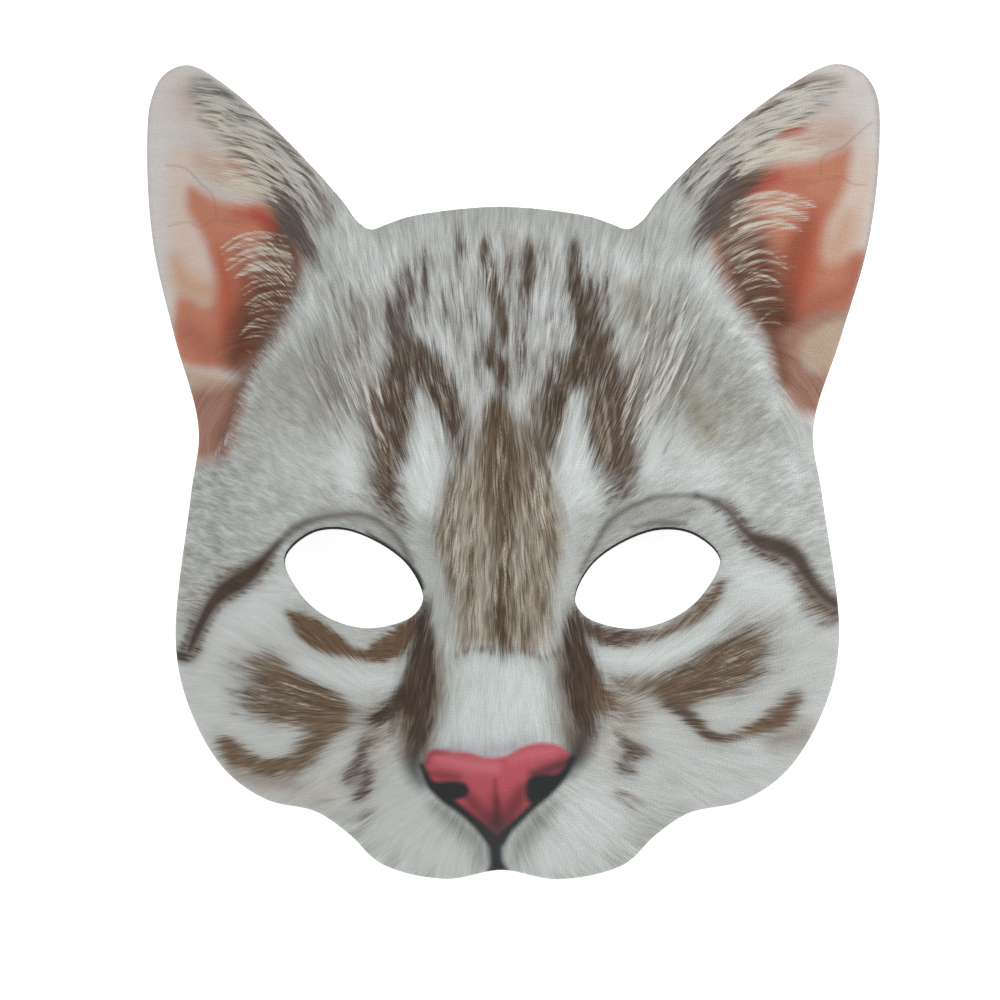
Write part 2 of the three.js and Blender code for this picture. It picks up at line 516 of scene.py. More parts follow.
class Ink(Enum):
    """Inks of the print, as sRGB hex values."""

    FUR = "#B0B4AF"
    CROWN_SHADE = "#A5A8A3"
    SHADED_SIDE_FUR = "#A1A39E"
    SIDE_FUR = "#908F87"
    ROOT_FUR = "#99988F"
    WARM_FUR = "#B4B2AA"
    PALE_FUR = "#BCBFBC"
    SNOW = "#C6CBC9"
    WHITE = "#CBD1CF"
    PAD = "#C3CCC9"
    PAD_SHADE = "#A29FA6"
    TAN = "#9C8F82"
    BUFF = "#BBB4A8"
    DUST = "#8B8178"
    LID = "#9C9A95"
    BARK = "#4E4237"
    UMBER = "#5A4B40"
    DUN = "#665241"
    CORE = "#4F3F2F"
    ASH = "#5C524D"
    SOOT = "#2E2F30"
    LASH = "#4E463F"
    TEAR = "#4A3E35"
    CHEEK = "#6C5A49"
    BRIDGE = "#9C9487"
    STRAND = "#6A5C4C"
    MIST = "#8A918B"
    ROSE = "#B2555E"
    ROSE_LIGHT = "#C9717A"
    ROSE_DEEP = "#6A3338"
    ROSE_LINE = "#52282B"
    ROSE_FOOT = "#4A3538"
    EAR_RIM = "#CAC6C2"
    EAR_TIP = "#C5BCB6"
    EAR_BLUSH = "#B99C8C"
    EAR_PINK = "#B97B64"
    EAR_GLOW = "#AB5741"
    EAR_FLESH = "#CDBAAE"
    EAR_TAN = "#C09A81"
    EAR_LOW = "#A0604E"
    EAR_DEEP = "#8E4E3C"
    EAR_DARK = "#653F30"
    EAR_RED = "#A8433E"
    EAR_SHELF = "#B59E8A"
    EAR_FOOT = "#987263"
    VEIN = "#8C6557"
    WISP = "#C2BBAD"
    GREY_WISP = "#B9B6AF"
    GUARD = "#C4C3BB"
    STREAK = "#7F7B73"
    EDGE = "#8E8A8D"
    OLIVE = "#8B8474"
    SHADOW = "#786D63"
    EAR_SOOT = "#5B4A40"


class Layer(Enum):
    """Where a mark goes: under the hair, as dark or pale hair, as a smooth line, or over all hair."""

    GROUND = "ground"
    DARK = "dark"
    PALE = "pale"
    LINE = "line"
    BARE = "bare"


@dataclass(frozen=True)
class Mark:
    """One printed mark, in millimetres.

    It is a brushed path of (x, y, half width) rows, or an area inside a closed outline.
    """

    of: str
    layer: Layer
    ink: Ink
    path: Path = ()
    outline: Points = ()
    soft: float = 1.0
    strength: float = 1.0
    hair: float = 1.0
    comb: float = 0.0
    slack: ClassVar[float] = 4.0

    def rows(self) -> np.ndarray:
        """Give the path's or the outline's rows, smoothed."""
        return smooth_rows(np.array(self.outline or self.path, float), bool(self.outline))

    def depth(self, at: np.ndarray) -> np.ndarray:
        """Give how deep inside the mark places lie, less than 0 outside.

        Args:
            at: Places on the face, one row each.

        Returns:
            Depths in millimetres.
        """
        rows = self.rows()
        if self.outline:
            near = np.full(len(at), np.inf)
            odd = np.zeros(len(at), bool)
            for a, b in zip(rows, np.roll(rows, -1, 0)):
                t = np.clip(((at - a) @ (b - a)) / ((b - a) @ (b - a)), 0, 1)
                near = np.minimum(near, np.linalg.norm(at - a - t[:, None] * (b - a), axis=1))
                crosses = (a[1] > at[:, 1]) != (b[1] > at[:, 1])
                rise = b[1] - a[1] if b[1] != a[1] else 1.0
                odd ^= crosses & (at[:, 0] < a[0] + (at[:, 1] - a[1]) / rise * (b[0] - a[0]))
            return np.where(odd, near, -near)
        best = np.full(len(at), -np.inf)
        for (ax, ay, aw), (bx, by, bw) in zip(rows, rows[1:]):
            a, run = np.array((ax, ay)), np.array((bx - ax, by - ay))
            t = np.clip(((at - a) @ run) / (run @ run), 0, 1)
            best = np.maximum(best, aw + t * (bw - aw) - np.linalg.norm(at - a - t[:, None] * run, axis=1))
        return best

    def reach(self) -> tuple[np.ndarray, np.ndarray]:
        """Give the box that the mark can touch.

        Returns:
            Its lower left and upper right corners.
        """
        rows = np.array(self.outline) if self.outline else np.array(self.path)
        margin = (0 if self.outline else rows[:, 2].max()) + self.soft + self.comb + self.slack
        return rows[:, :2].min(0) - margin, rows[:, :2].max(0) + margin

    def cover(self, at: np.ndarray) -> np.ndarray:
        """Give the ink's cover from 0 to 1 at places on the face."""
        return self.strength * smooth_step(0.5 + self.depth(at) / (2 * self.soft))


@dataclass(frozen=True)
class HairFan:
    """One lie of the printed fur: hair that runs straight out from a pivot, inside an outline."""

    of: str
    track: int
    pivot: tuple[float, float]
    axis: tuple[float, float]
    outline: Points = ()
    soft: float = 6.0
    spread: float = 60.0
    bend: float = 0.0
    bend_start: float = 22.0
    bend_reach: float = 25.0
    run: float = 1.0

    def combed(self, at: np.ndarray) -> tuple[np.ndarray, np.ndarray, np.ndarray]:
        """Lay the hair's own measures over the face.

        Args:
            at: Places on the face, one row each.

        Returns:
            Distance across the hair, distance along it, and the hair's direction.
        """
        out = at - np.array(self.pivot)
        far = np.linalg.norm(out, axis=1) + TINY
        ax, ay = self.axis
        angle = np.arctan2(ax * out[:, 1] - ay * out[:, 0], ax * out[:, 0] + ay * out[:, 1])
        past = (far - self.bend_start) / self.bend_reach
        angle = angle + self.bend * np.log1p(past**2) / 2
        sweep = -self.bend * far * past / self.bend_reach / (1 + past**2)
        heading = np.stack([out[:, 0] - sweep * out[:, 1], out[:, 1] + sweep * out[:, 0]], 1)
        return angle * self.spread, far * self.run, heading / np.linalg.norm(heading, axis=1)[:, None]

    def weight(self, at: np.ndarray) -> np.ndarray:
        """Give the fan's share, all over the face where it has no outline.

        Args:
            at: Places on the face, one row each.

        Returns:
            Shares from 0 to 1.
        """
        if not self.outline:
            return np.ones(len(at))
        return Mark(self.of, Layer.GROUND, Ink.FUR, outline=self.outline, soft=self.soft).cover(at)


@dataclass(frozen=True)
class Tuft:
    """A tuft of single hairs, each an arched stroke from a line of roots to a line of tips.

    Sizes are in millimetres. A stroke's profile gives its width along its run, and hairs in locks draw
    together by the pull.
    """

    of: str
    layer: Layer
    ink: Ink
    roots: Points
    tips: Points
    count: int
    half_width: float = 0.45
    arch: float = 0.0
    stray: float = 1.2
    soft: float = 0.5
    strength: float = 0.7
    seed: int = 1
    length: float = 1.0
    locks: int = 0
    profile: ClassVar[Points] = ((0.0, 0.5), (0.3, 1.0), (0.65, 0.9), (1.0, 0.3))
    pull: ClassVar[float] = 0.65
    smooth: ClassVar[float] = 0.6

    def hairs(self) -> list[Mark]:
        """Draw the hairs, each a little astray from its place in the row.

        Returns:
            One mark for each hair.
        """
        chance = np.random.default_rng(self.seed)
        made: list[Mark] = []
        for place in (np.arange(self.count) + chance.uniform(0.1, 0.9, self.count)) / self.count:
            root = self.along(self.roots, place) + chance.normal(0, self.stray, 2)
            drawn = (math.floor(place * self.locks) + 0.5) / self.locks if self.locks else place
            drawn = (1 - self.pull) * place + self.pull * drawn
            tip = self.along(self.tips, drawn) + chance.normal(0, self.stray, 2)
            run = tip - root
            bow = self.arch * chance.uniform(0.5, 1.5) * np.array((-run[1], run[0]))
            share = min(1.0, self.length * chance.uniform(0.7, 1.3))
            start = chance.uniform(0, 1 - share)
            steps = [(start + share * t, self.half_width * w) for t, w in self.profile]
            path = tuple((*(root + s * run + 4 * s * (1 - s) * bow), w) for s, w in steps)
            strength = self.strength * chance.uniform(0.55, 1.0)
            made.append(Mark(self.of, self.layer, self.ink, path, (), self.soft, strength, self.smooth))
        return made

    @staticmethod
    def along(line: Points, place: float) -> np.ndarray:
        """Find a place on a line of points.

        Args:
            line: The points.
            place: Share of the way along them.

        Returns:
            The point there.
        """
        rows = np.array(line, float)
        steps = np.linspace(0, 1, len(rows))
        return np.array([np.interp(place, steps, rows[:, k]) for k in (0, 1)])


FANS: tuple[HairFan, ...] = (
    HairFan("left side", 2, (30, -50), (-1, 0), spread=85, run=1.9),
    HairFan("right side", 2, (-30, -50), (1, 0), spread=85, run=1.9),
    HairFan("forehead", 0, (0, -65), (0, 1),
        ((-60, 78), (60, 78), (58, 40), (44, 6), (26, -2), (-26, -2), (-44, 6), (-58, 40)), 8, 100),
    HairFan("muzzle", 0, (0, -72), (0, -1),
        ((-60, -92), (-44, -84), (-22, -80), (22, -80), (44, -84), (60, -92), (48, -115), (-48, -115)), 6,
        35),
    HairFan("bridge", 1, (0, 65), (0, -1), ((-4, 22), (4, 22), (13, 4), (19, -12), (19, -34), (25, -40),
        (29, -54), (28, -68), (22, -78), (-22, -78), (-28, -68), (-28, -54), (-25, -40), (-19, -34),
        (-19, -12), (-13, 4)), 5, 80),
    HairFan("left cheek", 0, (-22, -66), (-1, 0),
        ((-36, -50), (-62, -38), (-98, -44), (-98, -72), (-84, -90), (-58, -98), (-46, -84), (-36, -72)), 5,
        45),
    HairFan("right cheek", 0, (24, -66), (1, 0),
        ((36, -48), (62, -34), (98, -40), (98, -70), (84, -88), (58, -98), (46, -84), (36, -70)), 5, 45),
    HairFan("left ear", 1, (-44, 35), (-1, 0), ((-45, 66), (-52, 52), (-64, 36), (-72, 24), (-78, 4),
        (-90, 4), (-106, 60), (-104, 116), (-80, 112), (-48, 78)), 4, 35, -0.9),
    HairFan("right ear", 1, (45, 35), (1, 0), ((46, 67), (54, 53), (66, 40), (73, 28), (78, 8), (90, 8),
        (106, 60), (104, 116), (80, 112), (49, 78)), 4, 35, 0.9),
)

EAR_ZONE: Points = (
    (76, 4), (108, 4), (108, 116), (84, 116), (40, 77), (39, 68), (47, 60), (50, 52), (58, 36), (70, 24),
)
BROW_ZONE: Points = ((27, 8), (36, 0), (50, 14), (60, 40), (45, 60), (38, 66), (29, 50))
FINE_ZONES: tuple[Points, ...] = tuple(
    zone for right in (EAR_ZONE, BROW_ZONE) for zone in (right, tuple((-x, y) for x, y in reversed(right)))
)


# How much hair shows in a line, and how far along the hair a zone of fuzz is combed.
LINE_HAIR = 0.8
FUZZ_COMB = 6.0


def wash(of: str, ink: Ink, *path: Row, soft: float = 6.0, strength: float = 1.0, hair: float = 0.7) -> Mark:
    """Tint the ground under the hair along a path."""
    return Mark(of, Layer.GROUND, ink, path=path, soft=soft, strength=strength, hair=hair)


def dark(of: str, ink: Ink, *path: Row, soft: float = 1.7, strength: float = 1.0, comb: float = 4.0) -> Mark:
    """Draw a stripe of dark hair, feathered along the hair by the comb's reach."""
    return Mark(of, Layer.DARK, ink, path=path, soft=soft, strength=strength, comb=comb)


def line(of: str, ink: Ink, *path: Row, soft: float = 1.0, strength: float = 1.0) -> Mark:
    """Draw a smooth dark line over the fur."""
    return Mark(of, Layer.LINE, ink, path=path, soft=soft, strength=strength, hair=LINE_HAIR)


def patch(
    of: str, ink: Ink, *outline: Point, soft: float = 1.6, strength: float = 0.9, comb: float = 4.5
) -> Mark:
    """Fill an outline with dark hair, feathered along the hair by the comb's reach."""
    return Mark(of, Layer.DARK, ink, outline=outline, soft=soft, strength=strength, comb=comb)


def bare(of: str, ink: Ink, *path: Row, soft: float = 0.8, strength: float = 1.0) -> Mark:
    """Paint a path over all hair, with no hair in it."""
    return Mark(of, Layer.BARE, ink, path=path, soft=soft, strength=strength, hair=0.0)


def skin(
    of: str, ink: Ink, *outline: Point, soft: float = 3.0, layer: Layer = Layer.GROUND, hair: float = 0.15
) -> Mark:
    """Fill an outline with bare skin or plain fur."""
    return Mark(of, layer, ink, outline=outline, soft=soft, hair=hair)


def fuzz(of: str, ink: Ink, *outline: Point, soft: float = 2.5, strength: float = 0.5) -> Mark:
    """Thin out an outline with pale hair that the ground shows through."""
    return Mark(of, Layer.PALE, ink, outline=outline, soft=soft, strength=strength, comb=FUZZ_COMB)


GROUND_FUR: tuple[Mark, ...] = (
    skin("forehead", Ink.PALE_FUR, (-38, 68), (0, 74), (38, 68), (42, 30), (30, -4), (-30, -4), (-42, 30),
        soft=8, hair=1.3),
    # Painted shade: the crown wash darkens the fur along the top edge, where the face curves back from the
    # light.
    wash("crown", Ink.CROWN_SHADE, (-34, 65, 4), (-20, 68, 5), (0, 70, 5), (20, 68, 5), (34, 65, 4),
        strength=0.75, hair=0.8),
    wash("left side forehead", Ink.SIDE_FUR, (-36, 43, 3), (-40, 33, 5), (-43, 22, 5), soft=7, strength=0.75,
        hair=1.7),
    wash("right side forehead", Ink.SIDE_FUR, (37, 45, 3), (40, 36, 5), (43, 26, 5), soft=7, strength=0.8,
        hair=1.8),
    wash("left ear root", Ink.ROOT_FUR, (-58, 26, 8), (-62, 12, 8), (-64, 4, 6), soft=8, strength=0.8,
        hair=0.9),
    wash("left ear front", Ink.PALE_FUR, (-49, 50, 3), (-55, 42, 2.5), (-64, 29, 2), (-70, 18, 1.5), soft=3.5,
        strength=0.55, hair=1.2),
    wash("right ear root", Ink.ROOT_FUR, (60, 24, 8), (66, 14, 7), soft=8, strength=0.8, hair=1.1),
    wash("right ear front", Ink.SNOW, (50, 55, 2.4), (54, 52, 3.6), (57, 47, 4), (64, 40, 3.5), (69, 32, 2.5),
        (74, 18, 2), soft=4, strength=0.85, hair=1.2),
    # Painted shade: the left temple is darker than the right one, as on the side turned away from the key
    # lamp.
    wash("left temple shade", Ink.SHADED_SIDE_FUR, (-80, -2, 9), (-84, -22, 7), soft=8, strength=0.7, hair=1.5),
    wash("right temple", Ink.PALE_FUR, (80, 0, 9), (86, -16, 5), soft=8, hair=0.9),
    wash("left brow", Ink.PALE_FUR, (-58, 4, 8), (-46, -1, 7), soft=8, strength=0.8),
    wash("left brow light", Ink.WHITE, (-42, 9, 3), (-40.6, 1, 3.4), (-40, -6, 2.4), soft=3.4, hair=0.4),
    wash("right brow", Ink.SNOW, (52, 2, 9), (60, -10, 6), soft=7, strength=0.9, hair=0.5),
    wash("right brow light", Ink.WHITE, (41.6, 11, 3.4), (41.4, 0, 4), soft=3, hair=0.4),
    skin("left plain cheek", Ink.PALE_FUR, (-62, -34), (-90, -40), (-97, -60), (-86, -86), (-56, -96),
        (-40, -84), (-36, -60), (-28, -52), soft=8, hair=0.3),
    skin("right plain cheek", Ink.PALE_FUR, (62, -30), (92, -34), (97, -56), (86, -84), (56, -96), (40, -84),
        (36, -60), (28, -50), soft=8, hair=0.32),
    wash("left upper cheek", Ink.SNOW, (-74, -40, 5), (-64, -36, 6), (-59, -31, 4), soft=5, strength=0.8,
        hair=0.3),
    wash("right upper cheek", Ink.WHITE, (74, -32, 7), (64, -28, 5), strength=0.95, hair=0.3),
    wash("left under eye", Ink.SNOW, (-54, -53, 2.5), (-42, -55.5, 3), (-30, -55.5, 2.5), soft=3,
        strength=0.9, hair=0.4),
    wash("right under eye", Ink.WHITE, (28, -49.5, 2.5), (40, -50, 2.5), (52, -46, 2.5), (60, -40, 3), soft=3,
        hair=0.4),
    wash("left jowl", Ink.WARM_FUR, (-62, -84, 5), (-48, -87, 6), soft=5, strength=0.8, hair=0.5),
    wash("right jowl", Ink.PALE_FUR, (66, -80, 7), (54, -84, 6), soft=5, strength=0.7, hair=0.6),
    wash("left jowl tan", Ink.DUST, (-73, -82, 2), (-68, -84, 2), (-58, -84.5, 1.4), soft=4, strength=0.75,
        hair=0.6),
    wash("right jowl tan", Ink.DUST, (74, -73, 2.4), (81, -71.4, 3), soft=4, strength=0.85, hair=0.6),
    wash("left muzzle side", Ink.WARM_FUR, (-33, -66, 4), (-31, -76, 4), soft=5, hair=0.8),
    wash("right muzzle side", Ink.WARM_FUR, (36, -64, 5), (30, -74, 4), soft=5, hair=0.8),
    wash("left pad", Ink.PALE_FUR, (-26, -92, 10), (-14, -103, 7), hair=0.28),
    wash("right pad", Ink.SNOW, (34, -85.5, 6), (26, -92, 10), (14, -103, 7), strength=0.85, hair=0.3),
    wash("left apex streak", Ink.SNOW, (-6.5, 24, 0.8), (-4.6, 15, 1.2), (-4.6, 9, 0.6), soft=2,
        strength=0.9),
    wash("right apex streak", Ink.SNOW, (7, 26, 1), (5.6, 21, 1), (4.8, 17, 0.4), soft=1.8, strength=0.5),
    wash("left lozenge", Ink.WHITE, (-19.4, 15, 0.5), (-19.4, 11, 2.4), (-19.6, 6, 3.6), (-20, 1, 4.6),
        (-20, -4, 5.2), (-19.5, -8, 4), soft=3, hair=0.7),
    wash("right lozenge", Ink.WHITE, (20.5, 18, 0.5), (20.8, 13, 1.8), (21.4, 8, 2.8), (22.2, 2, 3.6),
        (23.2, -3, 4.6), (22.5, -6, 5), soft=2.6, hair=0.7),
    wash("left bridge side", Ink.FUR, (-20, -14, 2.5), (-18, -28, 2.5), (-16.5, -43, 2.5), soft=3, hair=0.3),
    wash("right bridge side", Ink.PALE_FUR, (20, -12, 2.5), (18, -28, 2.5), (17, -43, 2.5), soft=3, hair=0.3),
    skin("bridge warmth", Ink.BRIDGE, (0, 19), (6, 9), (10, 1), (14.5, -7), (17.5, -16), (15.5, -25),
        (14, -36), (12.5, -46), (-11, -46), (-12, -36), (-13.5, -26), (-17.5, -17), (-14, -7), (-10, 1),
        (-6, 9), soft=4, hair=1.8),
    wash("left bridge light", Ink.BUFF, (-8, -10, 1), (-7.4, -16, 2), (-7.2, -24, 2.6), (-6.8, -33, 2.4),
        (-6.6, -40, 1.4), soft=2.6, strength=0.75, hair=1.6),
    wash("right bridge light", Ink.BUFF, (7, -10, 0.8), (7.4, -17, 1.4), (7.6, -26, 1.6), (7.8, -35, 1.6),
        soft=2.4, strength=0.55, hair=1.6),
    wash("bridge pad", Ink.PAD, (0, -55, 10), (0.5, -62, 12), (0.5, -70, 13.5), soft=3.5, hair=0.4),
    wash("bridge pad foot", Ink.PAD_SHADE, (-14, -74, 1.5), (0, -74.5, 2.6), (10, -71.5, 1.5), soft=3,
        strength=0.8, hair=0.7),
    wash("left nose side", Ink.SHADOW, (-18, -47, 2.4), (-19, -53, 4.6), (-19.6, -60, 5), (-21.6, -68, 5),
        (-23, -75, 3.4), soft=3, strength=0.95, hair=1.2),
    wash("right nose side", Ink.SHADOW, (19, -47, 2.6), (20.6, -53, 5), (22, -60, 5.4), (22, -67, 5),
        (21.6, -74, 3.2), soft=3, strength=0.95, hair=1.2),
    wash("left under nose", Ink.MIST, (-17, -89, 1.4), (-10.6, -94, 2.4), (-5, -100, 2), (-4.6, -105, 1.4),
        soft=3, strength=0.95),
    wash("right under nose", Ink.MIST, (15.5, -88.6, 1.4), (10.4, -94, 2.4), (6, -100, 1.8), (4, -105, 1.2),
        soft=3, strength=0.95),
    wash("left lid", Ink.LID, (-57, -17, 1.5), (-50, -12.5, 2.2), (-42, -11.5, 2.2), (-34, -13.5, 2.2),
        (-28, -19, 2), (-23, -26, 1.4), soft=2, strength=0.8, hair=0.4),
    wash("right lid", Ink.LID, (23, -25, 1.2), (29, -16, 2), (36, -11.5, 2.6), (44, -9.5, 3), (52, -10, 2.8),
        soft=2.2, strength=0.6, hair=0.4),
    wash("left band tan", Ink.DUST, (-34, 10, 1.8), (-34.6, 1, 1.8), (-33.5, -7, 1.4), soft=3, strength=0.35),
    wash("right band tan", Ink.DUST, (36, 8, 1.6), (35.6, 0, 1.4), soft=2.6, strength=0.4),
    wash("crown tan", Ink.DUST, (3, 63, 1.5), (5.5, 58, 3), (7, 51, 1.5), soft=3, strength=0.5),
    wash("right upper patch", Ink.OLIVE, (36, 50, 2.5), (37, 42, 3), soft=4, strength=0.7, hair=1.4),
    wash("right low patch", Ink.OLIVE, (49, 22, 2), (54, 15, 3.4), (56, 10, 3), soft=4.5, strength=0.85,
        hair=1.2),
    wash("left upper patch", Ink.OLIVE, (-37, 44, 2), (-39, 34, 2.5), soft=4, strength=0.5, hair=1.4),
    wash("left low patch", Ink.OLIVE, (-49, 20, 2.5), (-52, 14, 2.5), soft=4.5, strength=0.4, hair=1.2),
    wash("spot tan", Ink.DUST, (-1, 32, 2), (1.5, 29, 2), soft=3, strength=0.7),
)

LEFT_EAR: tuple[Mark, ...] = (
    skin("left ear rim", Ink.EAR_RIM, (-106, 118), (-78, 112), (-70, 100), (-62, 88), (-54, 74), (-51, 58),
        (-56.5, 45), (-60, 38), (-64, 31), (-69.5, 23), (-72.5, 15), (-78, 5), (-92, 1), (-108, 40),
        soft=1.4),
    wash("left ear tip", Ink.EAR_TIP, (-92, 104, 4), (-87, 93, 5), hair=0.15),
    wash("left ear tip blush", Ink.EAR_BLUSH, (-90.5, 105, 1.5), (-87.5, 100, 2.5), soft=4, strength=0.5,
        hair=0.3),
    wash("left ear tip tan", Ink.DUST, (-84, 96.5, 0.8), (-79, 94.5, 1.6), soft=2.5, strength=0.75, hair=1.2),
    wash("left ear blush", Ink.EAR_BLUSH, (-84, 85, 3), (-76, 82, 5), (-67, 79, 4), hair=0.2),
    wash("left ear flesh", Ink.EAR_FLESH, (-91, 86, 2.5), (-90.5, 73, 3.6), (-88, 63, 5), (-85.5, 57, 5),
        soft=4, hair=0.1),
    wash("left ear tan", Ink.EAR_TAN, (-91.5, 58, 1.5), (-88, 51, 3.5), (-81, 49, 3.5), soft=4, hair=0.1),
    skin("left ear pink", Ink.EAR_PINK, (-87.6, 78), (-80, 74.5), (-73, 73), (-66, 73), (-60, 71.5),
        (-55, 66), (-54, 57), (-58, 48), (-64, 38), (-71, 28), (-80, 28), (-90, 30), (-91.5, 41), (-90, 47.5),
        (-86, 47), (-83, 45.5), (-80, 46), (-78.5, 51), (-80.5, 57), (-84, 65), (-88, 71.5), soft=2.4),
    wash("left ear upper glow", Ink.EAR_GLOW, (-73, 70, 1), (-68, 69.5, 2), (-62.5, 68, 2.8), soft=4,
        strength=0.8, hair=0.15),
    wash("left ear glow", Ink.EAR_GLOW, (-78, 60, 1.2), (-75.6, 50, 2.6), (-75, 40, 2.8), soft=4,
        strength=0.95, hair=0.15),
    wash("left ear deep", Ink.EAR_DEEP, (-73, 62, 1), (-71, 56, 2.4), (-70.4, 49, 2.6), (-72.6, 41, 2.6),
        (-76, 35, 2), soft=3.4, strength=0.85, hair=0.2),
    wash("left ear low", Ink.EAR_LOW, (-87, 38, 3), (-80, 33, 4), soft=4, strength=0.75, hair=0.15),
    wash("left ear hollow", Ink.EAR_DARK, (-61, 64, 3.2), (-62.4, 57, 5.2), (-63.4, 48, 6.2), (-68, 38, 6),
        (-73, 31, 3.4), soft=4, hair=0.8),
    wash("left ear root shade", Ink.EAR_SOOT, (-60, 68, 1.5), (-57, 60, 2.6), (-56, 52, 3), (-59.4, 43, 3),
        (-65, 35, 2.4), soft=2.8, strength=0.85, hair=1.0),
    skin("left ear shelf", Ink.EAR_SHELF, (-94, 27.5), (-82, 27), (-76, 25.5), (-72, 22), (-74, 18),
        (-88, 19), soft=2, hair=0.2),
    skin("left ear foot", Ink.EAR_FOOT, (-90, 20), (-78, 23), (-71, 23), (-72, 12), (-76, 4), (-90, 4),
        soft=3, hair=0.9),
    wash("left ear fold", Ink.EAR_DARK, (-67, 30, 2.4), (-71, 23, 2), (-74, 15, 1.6), (-77.5, 6, 0.8),
        soft=2.6, strength=0.8, hair=0.5),
    wash("left upper vein", Ink.VEIN, (-95, 84, 0.15), (-89, 83, 0.2), (-84.5, 79, 0.2), (-80.5, 75.5, 0.2),
        (-79, 69, 0.2), soft=0.4, strength=0.5, hair=0.1),
    wash("left lower vein", Ink.VEIN, (-94, 67, 0.15), (-88, 68.2, 0.2), (-84, 66.5, 0.2), (-80.5, 68.6, 0.2),
        (-72, 67.6, 0.15), soft=0.4, strength=0.4, hair=0.1),
)

RIGHT_EAR: tuple[Mark, ...] = (
    skin("right ear rim", Ink.EAR_RIM, (106, 118), (80, 112), (74, 100), (66, 88), (56, 77), (55, 66),
        (58.5, 55), (64, 45), (71, 35), (73, 26), (80, 14), (94, 10), (108, 40), soft=1.4),
    wash("right ear tip", Ink.EAR_TIP, (92, 104, 4), (88, 98, 5), hair=0.15),
    wash("right ear tip tan", Ink.TAN, (80, 104.5, 1.2), (86, 106.5, 1.2), (91, 107, 0.6), soft=2.5,
        strength=0.75, hair=1.0),
    wash("right ear blush", Ink.EAR_BLUSH, (91, 92, 4), (84, 91, 5), (76, 89, 5), (70, 85, 3), hair=0.2),
    wash("right ear flesh", Ink.EAR_FLESH, (97.5, 86, 2.6), (95, 76, 5), (92.5, 68, 6), (90, 60, 5), soft=3.5,
        hair=0.1),
    wash("right ear tan", Ink.EAR_TAN, (93, 69, 2), (91, 63, 3.6), (88.6, 57, 3.6), soft=4, strength=0.85,
        hair=0.1),
    skin("right ear pink", Ink.EAR_PINK, (60, 77), (68, 81), (74, 83.5), (82, 84.5), (88, 86.5), (93.5, 88.5),
        (93.5, 83), (92.5, 78), (90.5, 73), (87.5, 68), (86, 61), (87, 56.5), (91, 57), (95, 60), (99, 60),
        (95, 43), (86, 42), (80, 37.5), (74, 36), (68, 42), (61, 50), (57, 62), soft=2.4),
    wash("right ear upper glow", Ink.EAR_GLOW, (68, 77.5, 1.6), (73, 78.5, 1.6), (80, 78, 1.6), soft=4,
        strength=0.5, hair=0.15),
    wash("right ear glow", Ink.EAR_GLOW, (84, 71, 2), (81.5, 62, 3.2), (79.5, 52, 4), (78.5, 44, 3), soft=4.5,
        hair=0.15),
    wash("right ear deep", Ink.EAR_DEEP, (82, 68, 1), (79.6, 62, 2.4), (78, 56, 3.2), (78, 48, 2), soft=3.6,
        strength=0.85, hair=0.2),
    wash("right ear low", Ink.EAR_LOW, (95.4, 57, 1.2), (93, 49, 2.2), (86, 46, 3), (80, 42, 3), soft=3.5,
        strength=0.8, hair=0.15),
    wash("right ear hollow", Ink.EAR_DARK, (63.4, 70.4, 4.2), (65.6, 62, 6.4), (68.6, 52, 6.8),
        (73.5, 42, 5.8), (76, 36, 3), soft=4, hair=0.8),
    wash("right ear root shade", Ink.EAR_SOOT, (63, 73, 1.6), (60.5, 66, 2.4), (62.5, 58, 2.6), (66, 50, 2.4),
        (71, 42, 1.8), soft=3, strength=0.85, hair=1.0),
    wash("right ear shelf shade", Ink.EAR_FOOT, (75, 35, 3), (80, 36, 3.6), (87, 41, 2.4), (96, 42, 2),
        soft=2.4, hair=0.3),
    skin("right ear shelf", Ink.EAR_SHELF, (98, 42.4), (90, 41.4), (84, 38.4), (80.6, 35), (82, 29), (94, 24),
        soft=2.6, hair=0.2),
    skin("right ear foot", Ink.EAR_FOOT, (73, 34), (80, 33), (83, 28), (94, 25), (92, 17), (81, 16), (74, 25),
        soft=2.6, hair=0.9),
    wash("right ear fold", Ink.EAR_DARK, (73, 37, 2.2), (75, 31, 2), (76, 25, 1.4), soft=2.6, strength=0.7,
        hair=0.5),
    wash("right upper vein", Ink.VEIN, (85.5, 80.5, 0.15), (86.5, 86, 0.2), (91.5, 88.5, 0.2), (95, 92, 0.2),
        (99.5, 96, 0.15), soft=0.4, strength=0.5, hair=0.1),
    wash("right lower vein", Ink.VEIN, (78, 79, 0.15), (86, 79.4, 0.2), (91, 80.5, 0.2), (94.5, 78.5, 0.2),
        (98.5, 78.5, 0.15), soft=0.4, strength=0.45, hair=0.1),
)

